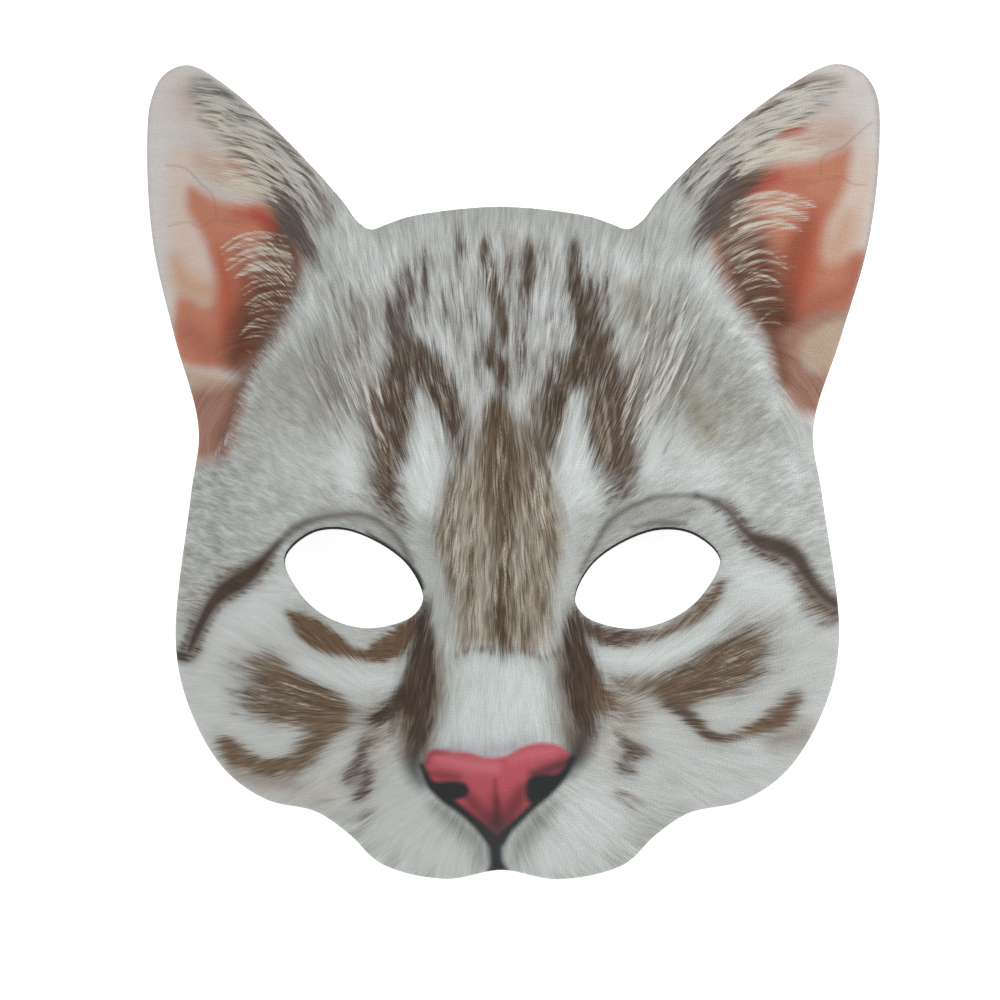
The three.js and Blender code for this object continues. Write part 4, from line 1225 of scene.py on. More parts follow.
TUFTS: tuple[Tuft, ...] = (
    Tuft("left crown streaks", Layer.DARK, Ink.ASH, ((-28, 34), (-18, 38)), ((-31, 55), (-18, 63)), 16, 0.45,
        soft=0.6, strength=0.6, length=0.6),
    Tuft("right crown streaks", Layer.DARK, Ink.UMBER, ((21, 42), (29, 34)), ((18, 62), (30, 57)), 14, 0.45,
        soft=0.6, strength=0.55, length=0.6, seed=2),
    Tuft("forehead threads", Layer.DARK, Ink.ASH, ((-14, 22), (15, 22)), ((-22, 65), (22, 65)), 80, 0.45,
        soft=0.7, strength=0.36, length=0.2, seed=3),
    Tuft("centre threads", Layer.DARK, Ink.UMBER, ((-4, 20), (7, 22)), ((-6, 64), (11, 64)), 30, 0.42,
        soft=0.6, strength=0.42, length=0.2, seed=37),
    Tuft("forehead glints", Layer.PALE, Ink.SNOW, ((-17, 20), (17, 20)), ((-24, 62), (24, 62)), 60, 0.45,
        soft=0.7, strength=0.45, length=0.2, seed=4),
    Tuft("bridge strands", Layer.DARK, Ink.STRAND, ((-4, 19), (5, 19)), ((-11, -48), (12.5, -48)), 46, 0.36,
        soft=0.7, strength=0.42, length=0.3, seed=5),
    Tuft("left bridge strands", Layer.DARK, Ink.STRAND, ((-7, 10), (-15, -3)), ((-9, -46), (-14, -30)), 18,
        0.36, soft=0.7, strength=0.36, length=0.35, seed=6),
    Tuft("right bridge strands", Layer.DARK, Ink.STRAND, ((7, 10), (17, -4)), ((11, -46), (15.5, -28)), 18,
        0.36, soft=0.7, strength=0.36, length=0.35, seed=7),
    Tuft("pale bridge strands", Layer.PALE, Ink.BUFF, ((-8, 18), (10, 16)), ((-11, -46), (12.5, -46)), 40,
        0.34, soft=0.6, strength=0.4, length=0.28, seed=8),
    Tuft("left pale bridge strands", Layer.PALE, Ink.BUFF, ((-7, 14), (-15, -2)), ((-9, -45), (-14, -26)), 22,
        0.34, soft=0.6, strength=0.42, length=0.3, seed=9),
    Tuft("right pale bridge strands", Layer.PALE, Ink.BUFF, ((8, 14), (16, -3)), ((11, -45), (15, -26)), 22,
        0.34, soft=0.6, strength=0.42, length=0.3, seed=10),
    Tuft("left ear front streaks", Layer.DARK, Ink.ASH, ((-48, 76), (-56, 61)), ((-78, 98), (-72.6, 83)), 44,
        0.3, -0.1, 0.9, 0.45, 0.7, 11, 0.7),
    Tuft("left ear front hair", Layer.PALE, Ink.GREY_WISP, ((-42, 70), (-50, 66)), ((-88, 108), (-76, 90)),
        44, 0.26, -0.1, 0.9, 0.4, 0.65, 12, 0.65),
    Tuft("left ear upper wisps", Layer.PALE, Ink.WISP, ((-62, 88), (-59, 73)), ((-86, 99), (-79, 77)), 18,
        0.24, -0.12, soft=0.4, strength=0.9, seed=13, locks=4),
    Tuft("left ear long wisps", Layer.PALE, Ink.WISP, ((-58, 64), (-55.4, 51)), ((-79, 61.5), (-73, 50)), 16,
        0.22, -0.15, 0.5, 0.5, 0.75, 14, locks=3),
    Tuft("left ear brow wisps", Layer.PALE, Ink.WISP, ((-64, 79.5), (-60.5, 72.5)), ((-76, 79), (-79, 75)),
        12, 0.22, -0.14, 0.5, 0.4, 0.85, 17, locks=2),
    Tuft("left ear tip streaks", Layer.DARK, Ink.ASH, ((-62, 90), (-76, 103.6)), ((-81, 90), (-90, 106)), 22,
        0.28, -0.08, 0.6, 0.45, 0.6, 18, 0.5),
    Tuft("left ear tip hair", Layer.PALE, Ink.GREY_WISP, ((-62, 90), (-76, 103.6)), ((-81, 90), (-90, 106)),
        24, 0.28, -0.08, 0.6, 0.4, 0.75, 38, 0.55),
    Tuft("left ear mid wisps", Layer.PALE, Ink.WISP, ((-56, 50), (-58.5, 43)), ((-72, 47), (-70, 41)), 8, 0.2,
        -0.15, soft=0.4, strength=0.65, seed=15, locks=3),
    Tuft("left ear low wisps", Layer.PALE, Ink.WISP, ((-60, 42), (-66, 33)), ((-71, 40), (-71, 33)), 7, 0.18,
        -0.12, soft=0.4, strength=0.5, seed=16),
    Tuft("right ear front streaks", Layer.DARK, Ink.ASH, ((49, 77), (58, 66)), ((78, 98.4), (75, 88)), 44,
        0.3, 0.1, 0.9, 0.45, 0.7, 19, 0.7),
    Tuft("right ear front hair", Layer.PALE, Ink.GREY_WISP, ((42, 71), (50, 67)), ((90, 108), (79, 92)), 44,
        0.26, 0.1, 0.9, 0.4, 0.65, 20, 0.65),
    Tuft("right ear upper wisps", Layer.PALE, Ink.WISP, ((66, 95), (62, 79)), ((88, 105), (84, 87)), 18, 0.24,
        0.12, soft=0.4, strength=0.9, seed=21, locks=4),
    Tuft("right ear long wisps", Layer.PALE, Ink.WISP, ((63, 73.4), (61, 62)), ((85, 74), (79, 64)), 18, 0.22,
        0.14, 0.5, 0.5, 0.75, 22, locks=3),
    Tuft("right ear brow wisps", Layer.PALE, Ink.WISP, ((66, 85), (63.6, 79.6)), ((85, 88), (86, 86)), 12,
        0.22, 0.1, 0.5, 0.4, 0.85, 25, locks=2),
    Tuft("right ear tip streaks", Layer.DARK, Ink.ASH, ((63, 92), (76, 103)), ((85, 93.5), (92, 107)), 22,
        0.28, 0.08, 0.6, 0.45, 0.6, 26, 0.5),
    Tuft("right ear tip hair", Layer.PALE, Ink.GREY_WISP, ((63, 92), (76, 103)), ((85, 93.5), (92, 107)), 24,
        0.28, 0.08, 0.6, 0.4, 0.75, 39, 0.55),
    Tuft("right ear mid wisps", Layer.PALE, Ink.WISP, ((60.5, 58), (63.5, 50)), ((78, 57), (75, 50)), 10, 0.2,
        0.15, soft=0.4, strength=0.7, seed=23, locks=4),
    Tuft("right ear low wisps", Layer.PALE, Ink.WISP, ((65, 47), (71, 39)), ((75, 48), (76, 41)), 7, 0.18,
        0.12, soft=0.4, strength=0.5, seed=24),
    Tuft("left side streaks", Layer.DARK, Ink.STREAK, ((-30, 8), (-40, 0)), ((-38, 60), (-58, 36)), 40, 0.28,
        0.03, 1.5, 0.5, 0.6, 27, 0.35),
    Tuft("right side streaks", Layer.DARK, Ink.STREAK, ((33, 10), (42, 2)), ((41, 64), (60, 42)), 44, 0.28,
        -0.03, 1.5, 0.5, 0.65, 28, 0.35),
    Tuft("left guard hairs", Layer.PALE, Ink.GUARD, ((-29, 10), (-36, 2)), ((-38, 52), (-54, 32)), 12, 0.24,
        0.03, 1.5, 0.4, 0.85, 29, 0.75),
    Tuft("right guard hairs", Layer.PALE, Ink.GUARD, ((32, 12), (38, 4)), ((41, 62), (58, 42)), 14, 0.24,
        -0.03, 1.5, 0.4, 0.95, 30, 0.8),
    Tuft("left cheek hairs", Layer.DARK, Ink.BARK, ((-40, -61.5), (-42, -68)), ((-76, -48), (-75, -66)), 30,
        0.3, 0, 0.6, 0.5, 0.55, 40, 0.4),
    Tuft("left cheek glints", Layer.PALE, Ink.BUFF, ((-42, -60), (-46, -71)), ((-75, -48), (-73, -68)), 26,
        0.28, 0, 0.6, 0.5, 0.36, 41, 0.35),
    Tuft("right cheek hairs", Layer.DARK, Ink.BARK, ((38, -56), (44, -61.5)), ((76, -37), (77, -56)), 30, 0.3,
        0, 0.6, 0.5, 0.55, 42, 0.4),
    Tuft("right cheek glints", Layer.PALE, Ink.BUFF, ((38, -55), (46, -62)), ((75, -38), (76, -56)), 26, 0.28,
        0, 0.6, 0.5, 0.36, 43, 0.35),
    Tuft("left band glints", Layer.PALE, Ink.TAN, ((-33, -8), (-24, -4)), ((-40, 38), (-20, 56)), 36, 0.32, 0,
        0.8, 0.5, 0.38, 44, 0.25),
    Tuft("left diagonal glints", Layer.PALE, Ink.TAN, ((-14, 2), (-8, 6)), ((-28, 40), (-13, 34)), 18, 0.32,
        0, 0.8, 0.5, 0.45, 45, 0.25),
    Tuft("right band glints", Layer.PALE, Ink.TAN, ((35, -5), (27, -2)), ((40, 40), (18, 58)), 36, 0.32, 0,
        0.8, 0.5, 0.38, 46, 0.25),
    Tuft("right diagonal glints", Layer.PALE, Ink.TAN, ((15, 2), (9, 6)), ((28, 42), (13, 34)), 18, 0.32, 0,
        0.8, 0.5, 0.45, 47, 0.25),
    Tuft("left whisker roots", Layer.DARK, Ink.DUST, ((-14, -91), (-3, -100)), ((-17, -97), (-7, -107)), 9,
        0.4, strength=0.25, seed=33),
    Tuft("right whisker roots", Layer.DARK, Ink.DUST, ((12, -88), (3, -98)), ((16, -95), (8, -106)), 10, 0.4,
        strength=0.28, seed=34),
    Tuft("left brow hairs", Layer.DARK, Ink.DUST, ((-33, -9), (-36, -4)), ((-46, -8), (-50, -3)), 8, 0.5,
        soft=0.9, strength=0.15, seed=35),
    Tuft("right brow hairs", Layer.DARK, Ink.DUST, ((33, -8), (36, -2)), ((46, -3), (52, 4)), 9, 0.5,
        soft=0.9, strength=0.15, seed=36),
)

NOSE: tuple[Mark, ...] = (
    bare("left smudge", Ink.SOOT, (-22.2, -75.4, 1.6), (-22.4, -79.6, 2.2), (-20.4, -83, 1.4), soft=3.4,
        strength=0.85),
    bare("right smudge", Ink.SOOT, (22.8, -70.8, 1.4), (21.4, -75.6, 2.2), (19.4, -79.8, 1.4), soft=3.2,
        strength=0.85),
    bare("lip cleft", Ink.SOOT, (-0.6, -98.5, 2), (-1, -102.5, 1.9), (-1, -105.6, 2), (-0.7, -109, 3.2),
        soft=1.1),
    bare("lip edge", Ink.SOOT, (-3.4, -107.8, 0.3), (-1.2, -108, 0.6), (2, -108.8, 0.4), strength=0.8),
    skin("nose leather", Ink.ROSE, (-19.1, -76.3), (-17.5, -74.2), (-12.7, -74.4), (-7.2, -74.5),
        (-2.8, -75.6), (2.7, -75.3), (7.2, -73), (12.5, -72), (17.3, -73.3), (19.4, -76), (18.8, -79),
        (13.7, -85.4), (9.2, -89), (5.4, -92.4), (1.1, -97), (-0.3, -98), (-2, -97), (-5.4, -93),
        (-10.2, -89), (-15.2, -85.5), (-19.3, -80.3), soft=0.6, layer=Layer.BARE, hair=0.0),
    bare("nose light", Ink.ROSE_LIGHT, (-17, -76, 0.8), (-12.3, -76.8, 1.5), (-7.5, -77.6, 1.6),
        (0, -78.4, 1.4), soft=2, strength=0.8),
    bare("right wing light", Ink.ROSE_LIGHT, (4.8, -76.4, 0.8), (9.3, -74.8, 1.2), (15.2, -74.2, 1), soft=1.8,
        strength=0.6),
    bare("left flank", Ink.ROSE_DEEP, (-8, -84.6, 0.6), (-6, -88, 2), (-3, -92, 2.2), soft=2.2, strength=0.8),
    bare("right flank", Ink.ROSE_DEEP, (7.4, -83.4, 0.8), (6, -87, 2.2), (3.4, -91.6, 2.2), soft=2.2,
        strength=0.85),
    bare("nose shade", Ink.ROSE_DEEP, (0, -87.5, 1.6), (0, -91, 3), soft=3.2, strength=0.7),
    bare("nose foot", Ink.ROSE_FOOT, (0, -94, 2.8), (-0.2, -97, 1.4), soft=2, strength=0.95),
    bare("nose groove", Ink.ROSE_LINE, (0.2, -81.5, 0.2), (0.3, -85.2, 0.4), (0.5, -88, 0.8), (0.4, -91, 1),
        (0.2, -93.5, 0.8), soft=1.1, strength=0.75),
    bare("left wing edge", Ink.ROSE_DEEP, (-19, -77.4, 0.8), (-17.6, -75.2, 0.8), (-13, -74.4, 0.4), soft=1.3,
        strength=0.65),
    bare("left wing rim", Ink.ROSE_DEEP, (-18.1, -80.7, 0.8), (-13.9, -80.9, 1.1), (-9.7, -81.1, 0.7),
        soft=1.5, strength=0.75),
    bare("right wing rim", Ink.ROSE_FOOT, (19.4, -77, 1.2), (15, -78.8, 1.5), (9.8, -80, 0.8), soft=1.6,
        strength=0.9),
    skin("left nostril", Ink.SOOT, (-18.5, -82.4), (-15.5, -82.5), (-12.6, -82.2), (-9.7, -82.2),
        (-7.8, -82.7), (-7, -84.1), (-7.2, -85.7), (-8.5, -86.7), (-10.1, -87.2), (-11.7, -87.8),
        (-14, -86.9), (-16.2, -85), soft=0.7, layer=Layer.BARE, hair=0.0),
    skin("right nostril", Ink.SOOT, (8.2, -82.9), (8.8, -81.4), (10.5, -80.4), (13.2, -80.2), (15.5, -80.4),
        (18.4, -79.4), (16.9, -82.4), (13.9, -85.6), (10.7, -88.2), (9, -87.9), (8.1, -85.7), soft=0.9,
        layer=Layer.BARE, hair=0.0),
    bare("left nose line", Ink.SOOT, (-20.2, -78.4, 0.8), (-17.8, -83.4, 1.1), (-14, -87, 1.2),
        (-10.2, -89.4, 1.3), (-7.2, -91.9, 1.3), (-4.8, -94.3, 1.5), (-2.6, -97, 1.8), (-1.2, -99.2, 1.9)),
    bare("right nose line", Ink.SOOT, (20.2, -76.4, 0.8), (17.6, -81.2, 1.1), (13.7, -85.4, 1.2),
        (10, -88.8, 1), (6.1, -92.6, 1), (3, -95.6, 1.2), (0.6, -98.6, 1.6)),
    bare("left tear corner", Ink.SOOT, (-36, -16, 0.3), (-28, -21.5, 0.5), (-22, -28, 0.9), (-20.6, -31, 0.6),
        soft=0.5),
)

TUFT_HAIRS: tuple[Mark, ...] = tuple(hair for tuft in TUFTS for hair in tuft.hairs())
CHART: tuple[Mark, ...] = (
    GROUND_FUR + LEFT_EAR + RIGHT_EAR + STRIPES + EYE_LINES + CHEEKS + EAR_HAIR + TUFT_HAIRS + NOSE
)


@dataclass
class Print:
    """The print on the cloth's face, worked out at the mesh's own points."""

    marks: tuple[Mark, ...] = CHART
    fans: tuple[HairFan, ...] = FANS
    tracks: int = 3
    comb_samples: int = 7
    halo_strength: float = 0.36
    halo_soft: float = 3.5
    plan_span: float = 240.0

    def comb(self, at: np.ndarray) -> tuple[list[np.ndarray], np.ndarray]:
        """Lay the hair fans over the face.

        Args:
            at: Places on the face, one row each.

        Returns:
            For each track the rows (across, along, share), and the hair's direction at each place.
        """
        tracks = [np.zeros((len(at), 3)) for _ in range(self.tracks)]
        headings = [np.zeros((len(at), 2)) for _ in range(self.tracks)]
        for fan in self.fans:
            across, along, heading = fan.combed(at)
            share = fan.weight(at)
            near = (at[:, 0] * fan.axis[0] >= 0) if not fan.outline else share > tracks[fan.track][:, 2]
            tracks[fan.track][near] = np.stack([across, along, share], 1)[near]
            headings[fan.track][near] = heading[near]
        left = 1 - tracks[1][:, 2]
        tracks[0][:, 2] *= left
        tracks[2][:, 2] = left - tracks[0][:, 2]
        mean = sum(track[:, 2:] * heading for track, heading in zip(tracks, headings))
        return tracks, mean / (np.linalg.norm(mean, axis=1)[:, None] + TINY)

    def paint(self, mesh: bpy.types.Mesh, at: np.ndarray) -> None:
        """Write the print to the mesh as attributes and a UV map.

        Args:
            mesh: Mesh of the cloth.
            at: The mesh's points on the flat face.
        """
        tracks, heading = self.comb(at)
        sheets = {layer: np.zeros((len(at), 4)) for layer in (Layer.GROUND, Layer.DARK, Layer.PALE)}
        sheets[Layer.GROUND][:] = (*linear(Ink.FUR.value), 1.0)
        for layer in Layer:
            for mark in self.marks:
                if mark.layer is layer:
                    self.lay(mark, at, heading, sheets)
        for layer, values in sheets.items():
            made = mesh.attributes.new(layer.value, "FLOAT_COLOR", "POINT")
            made.data.foreach_set("color", values.astype(np.float32).ravel())
        for number, values in enumerate(tracks):
            made = mesh.attributes.new(f"comb_{number}", "FLOAT_VECTOR", "POINT")
            made.data.foreach_set("vector", values.astype(np.float32).ravel())
        corners = np.zeros(len(mesh.loops), np.int32)
        mesh.loops.foreach_get("vertex_index", corners)
        plan = mesh.uv_layers.new(name=PLAN_MAP)
        plan.data.foreach_set("uv", (0.5 + at[corners] / self.plan_span).astype(np.float32).ravel())

    def lay(self, mark: Mark, at: np.ndarray, heading: np.ndarray, sheets: dict[Layer, np.ndarray]) -> None:
        """Lay one mark over what is there.

        Args:
            mark: The mark.
            at: Places on the face.
            heading: The hair's direction at each place.
            sheets: Colour and amount at each place, for each layer.
        """
        low, high = mark.reach()
        near = np.where(((at > low) & (at < high)).all(axis=1))[0]
        if mark.comb:
            shifts = np.linspace(-mark.comb, mark.comb, self.comb_samples)
            cover = np.mean([mark.cover(at[near] + s * heading[near]) for s in shifts], axis=0)
        else:
            cover = mark.cover(at[near])
        ink = np.array(linear(mark.ink.value))
        ground = sheets[Layer.GROUND]
        if mark.layer in (Layer.GROUND, Layer.LINE, Layer.BARE):
            goal = np.array((*ink, mark.hair))
            ground[near] += cover[:, None] * (goal - ground[near])
            if mark.layer is not Layer.GROUND:
                for over in (Layer.DARK, Layer.PALE):
                    sheets[over][near, 3] *= 1 - cover
            return
        if mark.layer is Layer.DARK:
            wide = 2 * (mark.soft + self.halo_soft)
            halo = self.halo_strength * smooth_step(0.5 + mark.depth(at[near]) / wide)
            ground[near, :3] += (halo * mark.strength)[:, None] * (ink - ground[near, :3])
        sheet = sheets[mark.layer]
        total = cover + sheet[near, 3] * (1 - cover)
        share = np.divide(cover, total, out=np.zeros_like(cover), where=total > TINY)[:, None]
        sheet[near, :3] += share * (ink - sheet[near, :3])
        sheet[near, 3] = total


@dataclass(frozen=True)
class PrintedKnit:
    """Dye-printed polyester knit, heat pressed: dull, with fine slanting loops and printed hair.

    Sizes are in millimetres. The real loops are too fine to show in the picture, so they are drawn as
    coarse as they need to show.
    """

    hair_size: tuple[float, float] = (0.3, 5.0)
    hair_share: float = 0.55
    lock_size: tuple[float, float] = (0.8, 9.0)
    lock_share: float = 0.45
    clump_size: tuple[float, float] = (2.2, 13.0)
    sway: float = 1.6
    sway_size: float = 12.5
    noise_range: tuple[float, float] = (0.33, 0.67)
    ragged: float = 0.45
    clump_ragged: float = 0.2
    stroke_ragged: float = 0.7
    ragged_reach: float = 2.5
    ground_contrast: float = 0.34
    clump_tint: tuple[float, float, float] = (0.19, 0.21, 0.24)
    dark_contrast: float = 0.55
    pale_contrast: float = 0.2
    loop_spacing: float = 0.85
    loop_slant: float = math.radians(40)
    loop_shading: float = 0.1
    loop_depth: float = 0.12
    loop_bump: float = 0.5
    roughness: float = 0.88
    gloss: float = 0.08
    sheen: float = 0.03
    sheen_roughness: float = 0.5
    span: float = Print.plan_span

    def material(self) -> bpy.types.Material:
        """Make the cloth's material from its printed attributes.

        Returns:
            The material.
        """
        made, tree = blank_material("printed_polyester_knit")
        plan = add_node(tree, "ShaderNodeUVMap", uv_map=PLAN_MAP).outputs[0]
        flat = add_node(tree, VECTOR_MATH, {0: plan, "Scale": self.span}, operation="SCALE").outputs[0]
        hair, clump = self.fur(tree, flat)
        weave = self.loops(tree, flat)
        ground = add_node(tree, ATTRIBUTE, attribute_name=Layer.GROUND.value).outputs
        lift = add_node(tree, MATH, {0: 0.0, 1: hair}, operation="SUBTRACT").outputs[0]
        sink = add_node(tree, MATH, {0: 0.0, 1: clump}, operation="SUBTRACT").outputs[0]
        inputs = {0: ground["Alpha"], 1: self.ground_contrast}
        amount = add_node(tree, MATH, inputs, operation="MULTIPLY").outputs[0]
        change = add_node(tree, MATH, {0: lift, 1: amount, 2: 1.0}, operation="MULTIPLY_ADD").outputs[0]
        inputs = {0: ground["Color"], "Scale": change}
        colour = add_node(tree, VECTOR_MATH, inputs, operation="SCALE").outputs[0]
        depth = add_node(tree, MATH, {0: sink, 1: ground["Alpha"]}, operation="MULTIPLY").outputs[0]
        inputs = {0: self.clump_tint, "Scale": depth}
        tint = add_node(tree, VECTOR_MATH, inputs, operation="SCALE").outputs[0]
        inputs = {0: colour, 1: tint, 2: colour}
        colour = add_node(tree, VECTOR_MATH, inputs, operation="MULTIPLY_ADD").outputs[0]
        for layer, lies, contrast in (
            (Layer.DARK, ((hair, self.ragged), (clump, self.clump_ragged)), self.dark_contrast),
            (Layer.PALE, ((lift, self.stroke_ragged),), self.pale_contrast),
        ):
            sheet = add_node(tree, ATTRIBUTE, attribute_name=layer.value).outputs
            inputs = {0: sheet["Alpha"], 1: self.ragged_reach}
            reach = add_node(tree, MATH, inputs, operation="MULTIPLY", use_clamp=True).outputs[0]
            edge = sheet["Alpha"]
            for lie, ragged in lies:
                rag = add_node(tree, MATH, {0: reach, 1: ragged}, operation="MULTIPLY").outputs[0]
                edge = add_node(tree, MATH, {0: lie, 1: rag, 2: edge}, operation="MULTIPLY_ADD").outputs[0]
            inputs = {"Value": edge, "From Min": 0.0, "From Max": 1.0}
            mask = add_node(tree, "ShaderNodeMapRange", inputs, interpolation_type="SMOOTHSTEP").outputs[0]
            shade = add_node(tree, MATH, {0: lift, 1: contrast, 2: 1.0}, operation="MULTIPLY_ADD").outputs[0]
            inputs = {0: sheet["Color"], "Scale": shade}
            tint = add_node(tree, VECTOR_MATH, inputs, operation="SCALE").outputs[0]
            inputs = {0: mask, 6: colour, 7: tint}
            colour = add_node(tree, "ShaderNodeMix", inputs, data_type="RGBA").outputs[2]
        # Painted shade and highlight of the knit loops: the colour is darkened between the loops and
        # lightened on their tops, along with the bump.
        inputs = {0: weave, 1: self.loop_shading, 2: 1.0}
        loop_shade = add_node(tree, MATH, inputs, operation="MULTIPLY_ADD").outputs[0]
        colour = add_node(tree, VECTOR_MATH, {0: colour, "Scale": loop_shade}, operation="SCALE").outputs[0]
        inputs = {"Height": weave, "Strength": self.loop_bump, "Distance": self.loop_depth * MM}
        bump = add_node(tree, "ShaderNodeBump", inputs).outputs[0]
        shader = add_node(tree, "ShaderNodeBsdfPrincipled", {
            "Base Color": colour,
            "Normal": bump,
            "Roughness": self.roughness,
            "Specular IOR Level": self.gloss,
            "Sheen Weight": self.sheen,
            "Sheen Roughness": self.sheen_roughness,
        })
        add_node(tree, "ShaderNodeOutputMaterial", {"Surface": shader.outputs[0]})
        return made

    def fur(
        self, tree: bpy.types.NodeTree, flat: bpy.types.NodeSocket
    ) -> tuple[bpy.types.NodeSocket, bpy.types.NodeSocket]:
        """Draw the printed fur from the combed tracks.

        Args:
            tree: The material's nodes.
            flat: Place on the flat face in millimetres.

        Returns:
            Single hairs and clumps of hair, each from -0.5, pale, to 0.5, dark.
        """
        inputs = {"Vector": flat, "Scale": 1 / self.sway_size, "Detail": 1.0}
        bend = add_node(tree, "ShaderNodeTexNoise", inputs, noise_dimensions="2D").outputs[0]
        sway = add_node(tree, MATH, {0: bend, 1: self.sway}, operation="MULTIPLY").outputs[0]
        totals = {"hair": 0.0, "clump": 0.0}
        for number in range(Print.tracks):
            track = add_node(tree, ATTRIBUTE, attribute_name=f"comb_{number}").outputs["Vector"]
            rows = add_node(tree, "ShaderNodeSeparateXYZ", {0: track}).outputs
            across = add_node(tree, MATH, {0: rows[0], 1: sway}, operation="ADD").outputs[0]
            lie = add_node(tree, "ShaderNodeCombineXYZ", {0: across, 1: rows[1]}).outputs[0]
            for kind, size, part in (
                ("hair", self.hair_size, self.hair_share),
                ("hair", self.lock_size, self.lock_share),
                ("clump", self.clump_size, 1.0),
            ):
                scale = (1 / size[0], 1 / size[1], 1.0)
                at = add_node(tree, VECTOR_MATH, {0: lie, 1: scale}, operation="MULTIPLY").outputs[0]
                inputs = {"Vector": at, "Scale": 1.0, "Detail": 1.0}
                noise = add_node(tree, "ShaderNodeTexNoise", inputs, noise_dimensions="2D").outputs[0]
                share = add_node(tree, MATH, {0: rows[2], 1: part}, operation="MULTIPLY").outputs[0]
                inputs = {0: noise, 1: share, 2: totals[kind]}
                totals[kind] = add_node(tree, MATH, inputs, operation="MULTIPLY_ADD").outputs[0]
        low, high = self.noise_range
        span = {"From Min": low, "From Max": high, "To Min": -0.5, "To Max": 0.5}
        hair, clump = (
            add_node(tree, "ShaderNodeMapRange", {"Value": total, **span}).outputs[0]
            for total in totals.values()
        )
        return hair, clump

    def loops(self, tree: bpy.types.NodeTree, flat: bpy.types.NodeSocket) -> bpy.types.NodeSocket:
        """Draw the slanting loops of the knit.

        Args:
            tree: The material's nodes.
            flat: Place on the flat face in millimetres.

        Returns:
            Loops from -1, between them, to 1, on top of them.
        """
        turns = 2 * math.pi / self.loop_spacing
        inputs = {"Vector": flat, "Rotation": (0, 0, self.loop_slant), "Scale": (turns,) * 3}
        slant = add_node(tree, "ShaderNodeMapping", inputs).outputs[0]
        rows = add_node(tree, "ShaderNodeSeparateXYZ", {0: slant}).outputs
        waves = [add_node(tree, MATH, {0: rows[k]}, operation="SINE").outputs[0] for k in (0, 1)]
        return add_node(tree, MATH, {0: waves[0], 1: waves[1]}, operation="MULTIPLY").outputs[0]


@dataclass(frozen=True)
class FoamRubber:
    """Skived charcoal EVA foam: matt, with fine closed cells on its skin and cut edge.

    Sizes are in millimetres.
    """

    colour: str = "#2C2C2F"
    cell_colour: str = "#3A3A3D"
    cell: float = 0.6
    cell_depth: float = 0.08
    cell_bump: float = 0.6
    cloud: float = 18.0
    roughness: float = 0.85
    gloss: float = 0.3

    def material(self) -> bpy.types.Material:
        """Make the foam's material.

        Returns:
            The material.
        """
        made, tree = blank_material("eva_foam_rubber")
        place = add_node(tree, "ShaderNodeTexCoord").outputs["Object"]
        inputs = {"Vector": place, "Scale": 1 / (self.cell * MM)}
        cells = add_node(tree, "ShaderNodeTexVoronoi", inputs).outputs["Distance"]
        inputs = {"Vector": place, "Scale": 1 / (self.cloud * MM), "Detail": 3.0}
        cloud = add_node(tree, "ShaderNodeTexNoise", inputs).outputs[0]
        mix = add_node(tree, MATH, {0: cells, 1: cloud}, operation="MULTIPLY").outputs[0]
        inputs = {0: mix, 6: (*linear(self.colour), 1), 7: (*linear(self.cell_colour), 1)}
        colour = add_node(tree, "ShaderNodeMix", inputs, data_type="RGBA").outputs[2]
        inputs = {"Height": cells, "Strength": self.cell_bump, "Distance": self.cell_depth * MM}
        bump = add_node(tree, "ShaderNodeBump", inputs).outputs[0]
        shader = add_node(tree, "ShaderNodeBsdfPrincipled", {
            "Base Color": colour,
            "Normal": bump,
            "Roughness": self.roughness,
            "Specular IOR Level": self.gloss,
        })
        add_node(tree, "ShaderNodeOutputMaterial", {"Surface": shader.outputs[0]})
        return made


@dataclass
class FaceCloth:
    """The printed cloth pressed over the front of the mask.

    Its flat size, in metres, is measured over the mask: across the ears, and from an ear's tip to the chin.
    """

    form: FaceForm
    edges: CutEdges
    cut: SheetCut = SheetCut(
        front=0.0, back=1.0, edge_step=0.7, front_spacing=0.8, back_spacing=3.0, edge_round=0.9,
        fine_zones=FINE_ZONES, fine_spacing=0.48,
    )
    flat_size: tuple[float, float] = (0.256, 0.256)
    finish: PrintedKnit = PrintedKnit()
    pattern: Print = field(default_factory=Print)
    piece: bpy.types.Object | None = None

    def build(self) -> bpy.types.Object:
        """Make the cloth and print it.

        Returns:
            The cloth.
        """
        mesh, plan = sheet_mesh("face_cloth_dressed", self.cut, self.form, self.edges)
        self.pattern.paint(mesh, plan)
        self.piece = bpy.data.objects.new("face_cloth_dressed", mesh)
        bpy.context.scene.collection.objects.link(self.piece)
        return self.piece

    def area(self) -> float:
        """Give the area of the cloth's front in square metres, half that of its two faces."""
        return sum(polygon.area for polygon in self.piece.data.polygons) / 2

    def dress(self, foam: bpy.types.Object) -> None:
        """Give the cloth its material, hang it from the root and hide the imported cloth.

        Args:
            foam: The shell that it is pressed over. Not used.
        """
        self.piece.data.materials.append(self.finish.material())
        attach(self.piece, "root")
        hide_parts("face_cloth")


@dataclass
class FoamShell:
    """The moulded foam shell behind the cloth, open at the back."""

    form: FaceForm
    edges: CutEdges
    cut: SheetCut = SheetCut(
        front=1.3, back=3.3, edge_step=1.4, front_spacing=2.4, back_spacing=2.0, edge_round=0.4, eye_drop=0.7
    )
    finish: FoamRubber = FoamRubber()
    piece: bpy.types.Object | None = None

    def build(self) -> bpy.types.Object:
        """Make the shell.

        Returns:
            The shell.
        """
        mesh, _ = sheet_mesh("foam_shell_dressed", self.cut, self.form, self.edges)
        self.piece = bpy.data.objects.new("foam_shell_dressed", mesh)
        bpy.context.scene.collection.objects.link(self.piece)
        return self.piece

    def dress(self) -> None:
        """Give the shell its material, hang it from the root and hide the imported shell."""
        self.piece.data.materials.append(self.finish.material())
        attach(self.piece, "root")
        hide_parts("foam_shell")


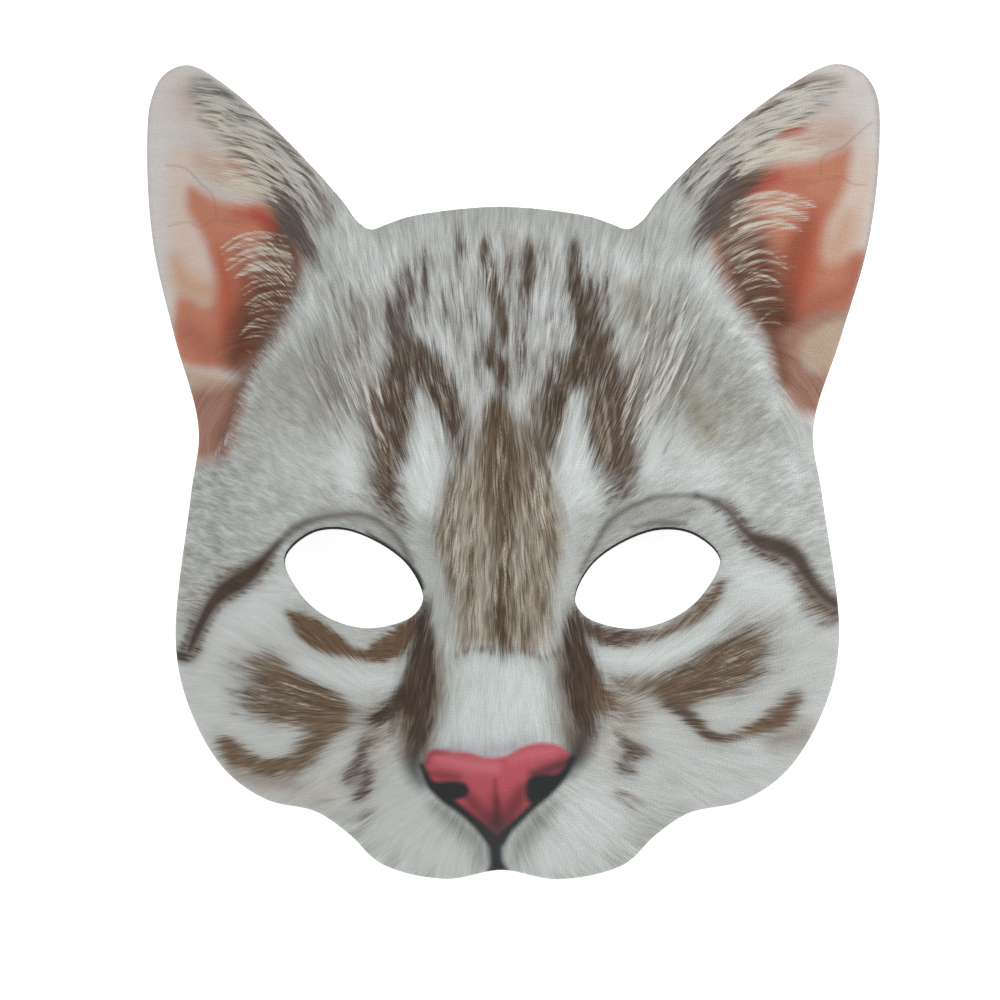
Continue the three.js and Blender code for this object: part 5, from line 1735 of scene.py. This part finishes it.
@dataclass(frozen=True)
class Lamp:
    """One square soft lamp, aimed at the middle of the table. Sizes are in metres and watts."""

    name: str
    place: tuple[float, float, float]
    size: float
    power: float

    def hang(self) -> None:
        """Hang the lamp."""
        lamp = bpy.data.lights.new(self.name, "AREA")
        lamp.size = self.size
        lamp.energy = self.power
        held = bpy.data.objects.new(self.name, lamp)
        held.location = self.place
        held.rotation_euler = (-Vector(self.place)).to_track_quat("-Z", "Y").to_euler()
        bpy.context.scene.collection.objects.link(held)


@dataclass
class Studio:
    """A pale lit table, soft light and the camera at the photograph's angle. Sizes are in metres."""

    form: FaceForm
    view_yaw: float = math.radians(3.06)
    view_pitch: float = math.radians(-0.69)
    view_distance: float = 2.4
    view_width: float = 0.273
    view_depth: float = 20.0
    sensor: float = 36.0
    shift: tuple[float, float] = (-0.00625, -0.029)
    table_size: float = 6.0
    table_white: float = 0.85
    table_roughness: float = 0.8
    table_glow: float = 0.88
    world_light: float = 0.35
    lamps: tuple[Lamp, ...] = (
        Lamp("key lamp", (0.7, 0.2, 1.6), 1.0, 15.5),
        Lamp("fill lamp", (-0.8, -0.3, 1.5), 1.0, 8.0),
    )

    def build(self) -> None:
        """Set up the table, the lights and the camera."""
        self.table()
        self.lights()
        self.camera()
        bpy.context.scene.view_settings.view_transform = "Standard"

    def table(self) -> None:
        """Lay a white opal acrylic table: matt, and glowing a little from below, as a light table does."""
        half = self.table_size / 2
        corners = [(-half, -half, 0), (half, -half, 0), (half, half, 0), (-half, half, 0)]
        mesh = bpy.data.meshes.new("table")
        mesh.from_pydata(corners, [], [(0, 1, 2, 3)])
        made, tree = blank_material("opal_acrylic")
        shader = add_node(tree, "ShaderNodeBsdfPrincipled", {
            "Base Color": (self.table_white, self.table_white, self.table_white, 1),
            "Roughness": self.table_roughness,
            "Specular IOR Level": 0.0,
            "Emission Color": (1, 1, 1, 1),
            "Emission Strength": self.table_glow,
        })
        add_node(tree, "ShaderNodeOutputMaterial", {"Surface": shader.outputs[0]})
        mesh.materials.append(made)
        top = bpy.data.objects.new("table", mesh)
        bpy.context.scene.collection.objects.link(top)

    def lights(self) -> None:
        """Light the room evenly and hang soft lamps round the camera, a little stronger on the right."""
        world = bpy.data.worlds.new("studio")
        world.use_nodes = True
        background = world.node_tree.nodes["Background"]
        background.inputs["Color"].default_value = (1, 1, 1, 1)
        background.inputs["Strength"].default_value = self.world_light
        bpy.context.scene.world = world
        for lamp in self.lamps:
            lamp.hang()

    def camera(self) -> None:
        """Stand the camera where the photograph was taken from."""
        lens = bpy.data.cameras.new("photo camera")
        lens.sensor_width = self.sensor
        lens.lens = self.sensor * self.view_distance / self.view_width
        lens.shift_x, lens.shift_y = self.shift
        lens.clip_end = self.view_depth
        eye = bpy.data.objects.new("photo camera", lens)
        turn = Matrix.Rotation(self.view_yaw, 4, "Y") @ Matrix.Rotation(self.view_pitch, 4, "X")
        tilt = Matrix.Rotation(self.form.rest_tilt, 4, "X")
        face = Matrix.Translation(self.form.laid_down().translation)
        eye.matrix_world = face @ tilt @ turn @ Matrix.Translation((0, 0, self.view_distance))
        bpy.context.scene.collection.objects.link(eye)
        bpy.context.scene.camera = eye


def main() -> None:
    """Build the studio and the mask, piece by piece."""
    logging.basicConfig(level=logging.INFO)
    form = FaceForm()
    edges = CutEdges()
    Studio(form).build()
    shell = FoamShell(form, edges)
    cloth = FaceCloth(form, edges)
    for part in (shell, cloth):
        piece = part.build()
        LOG.info("%s: %d triangles", piece.name, sum(len(p.vertices) - 2 for p in piece.data.polygons))
    shell.dress()
    cloth.dress(shell.piece)
    LOG.info("cloth area %.4f m2", cloth.area())


if __name__ == "__main__":
    main()
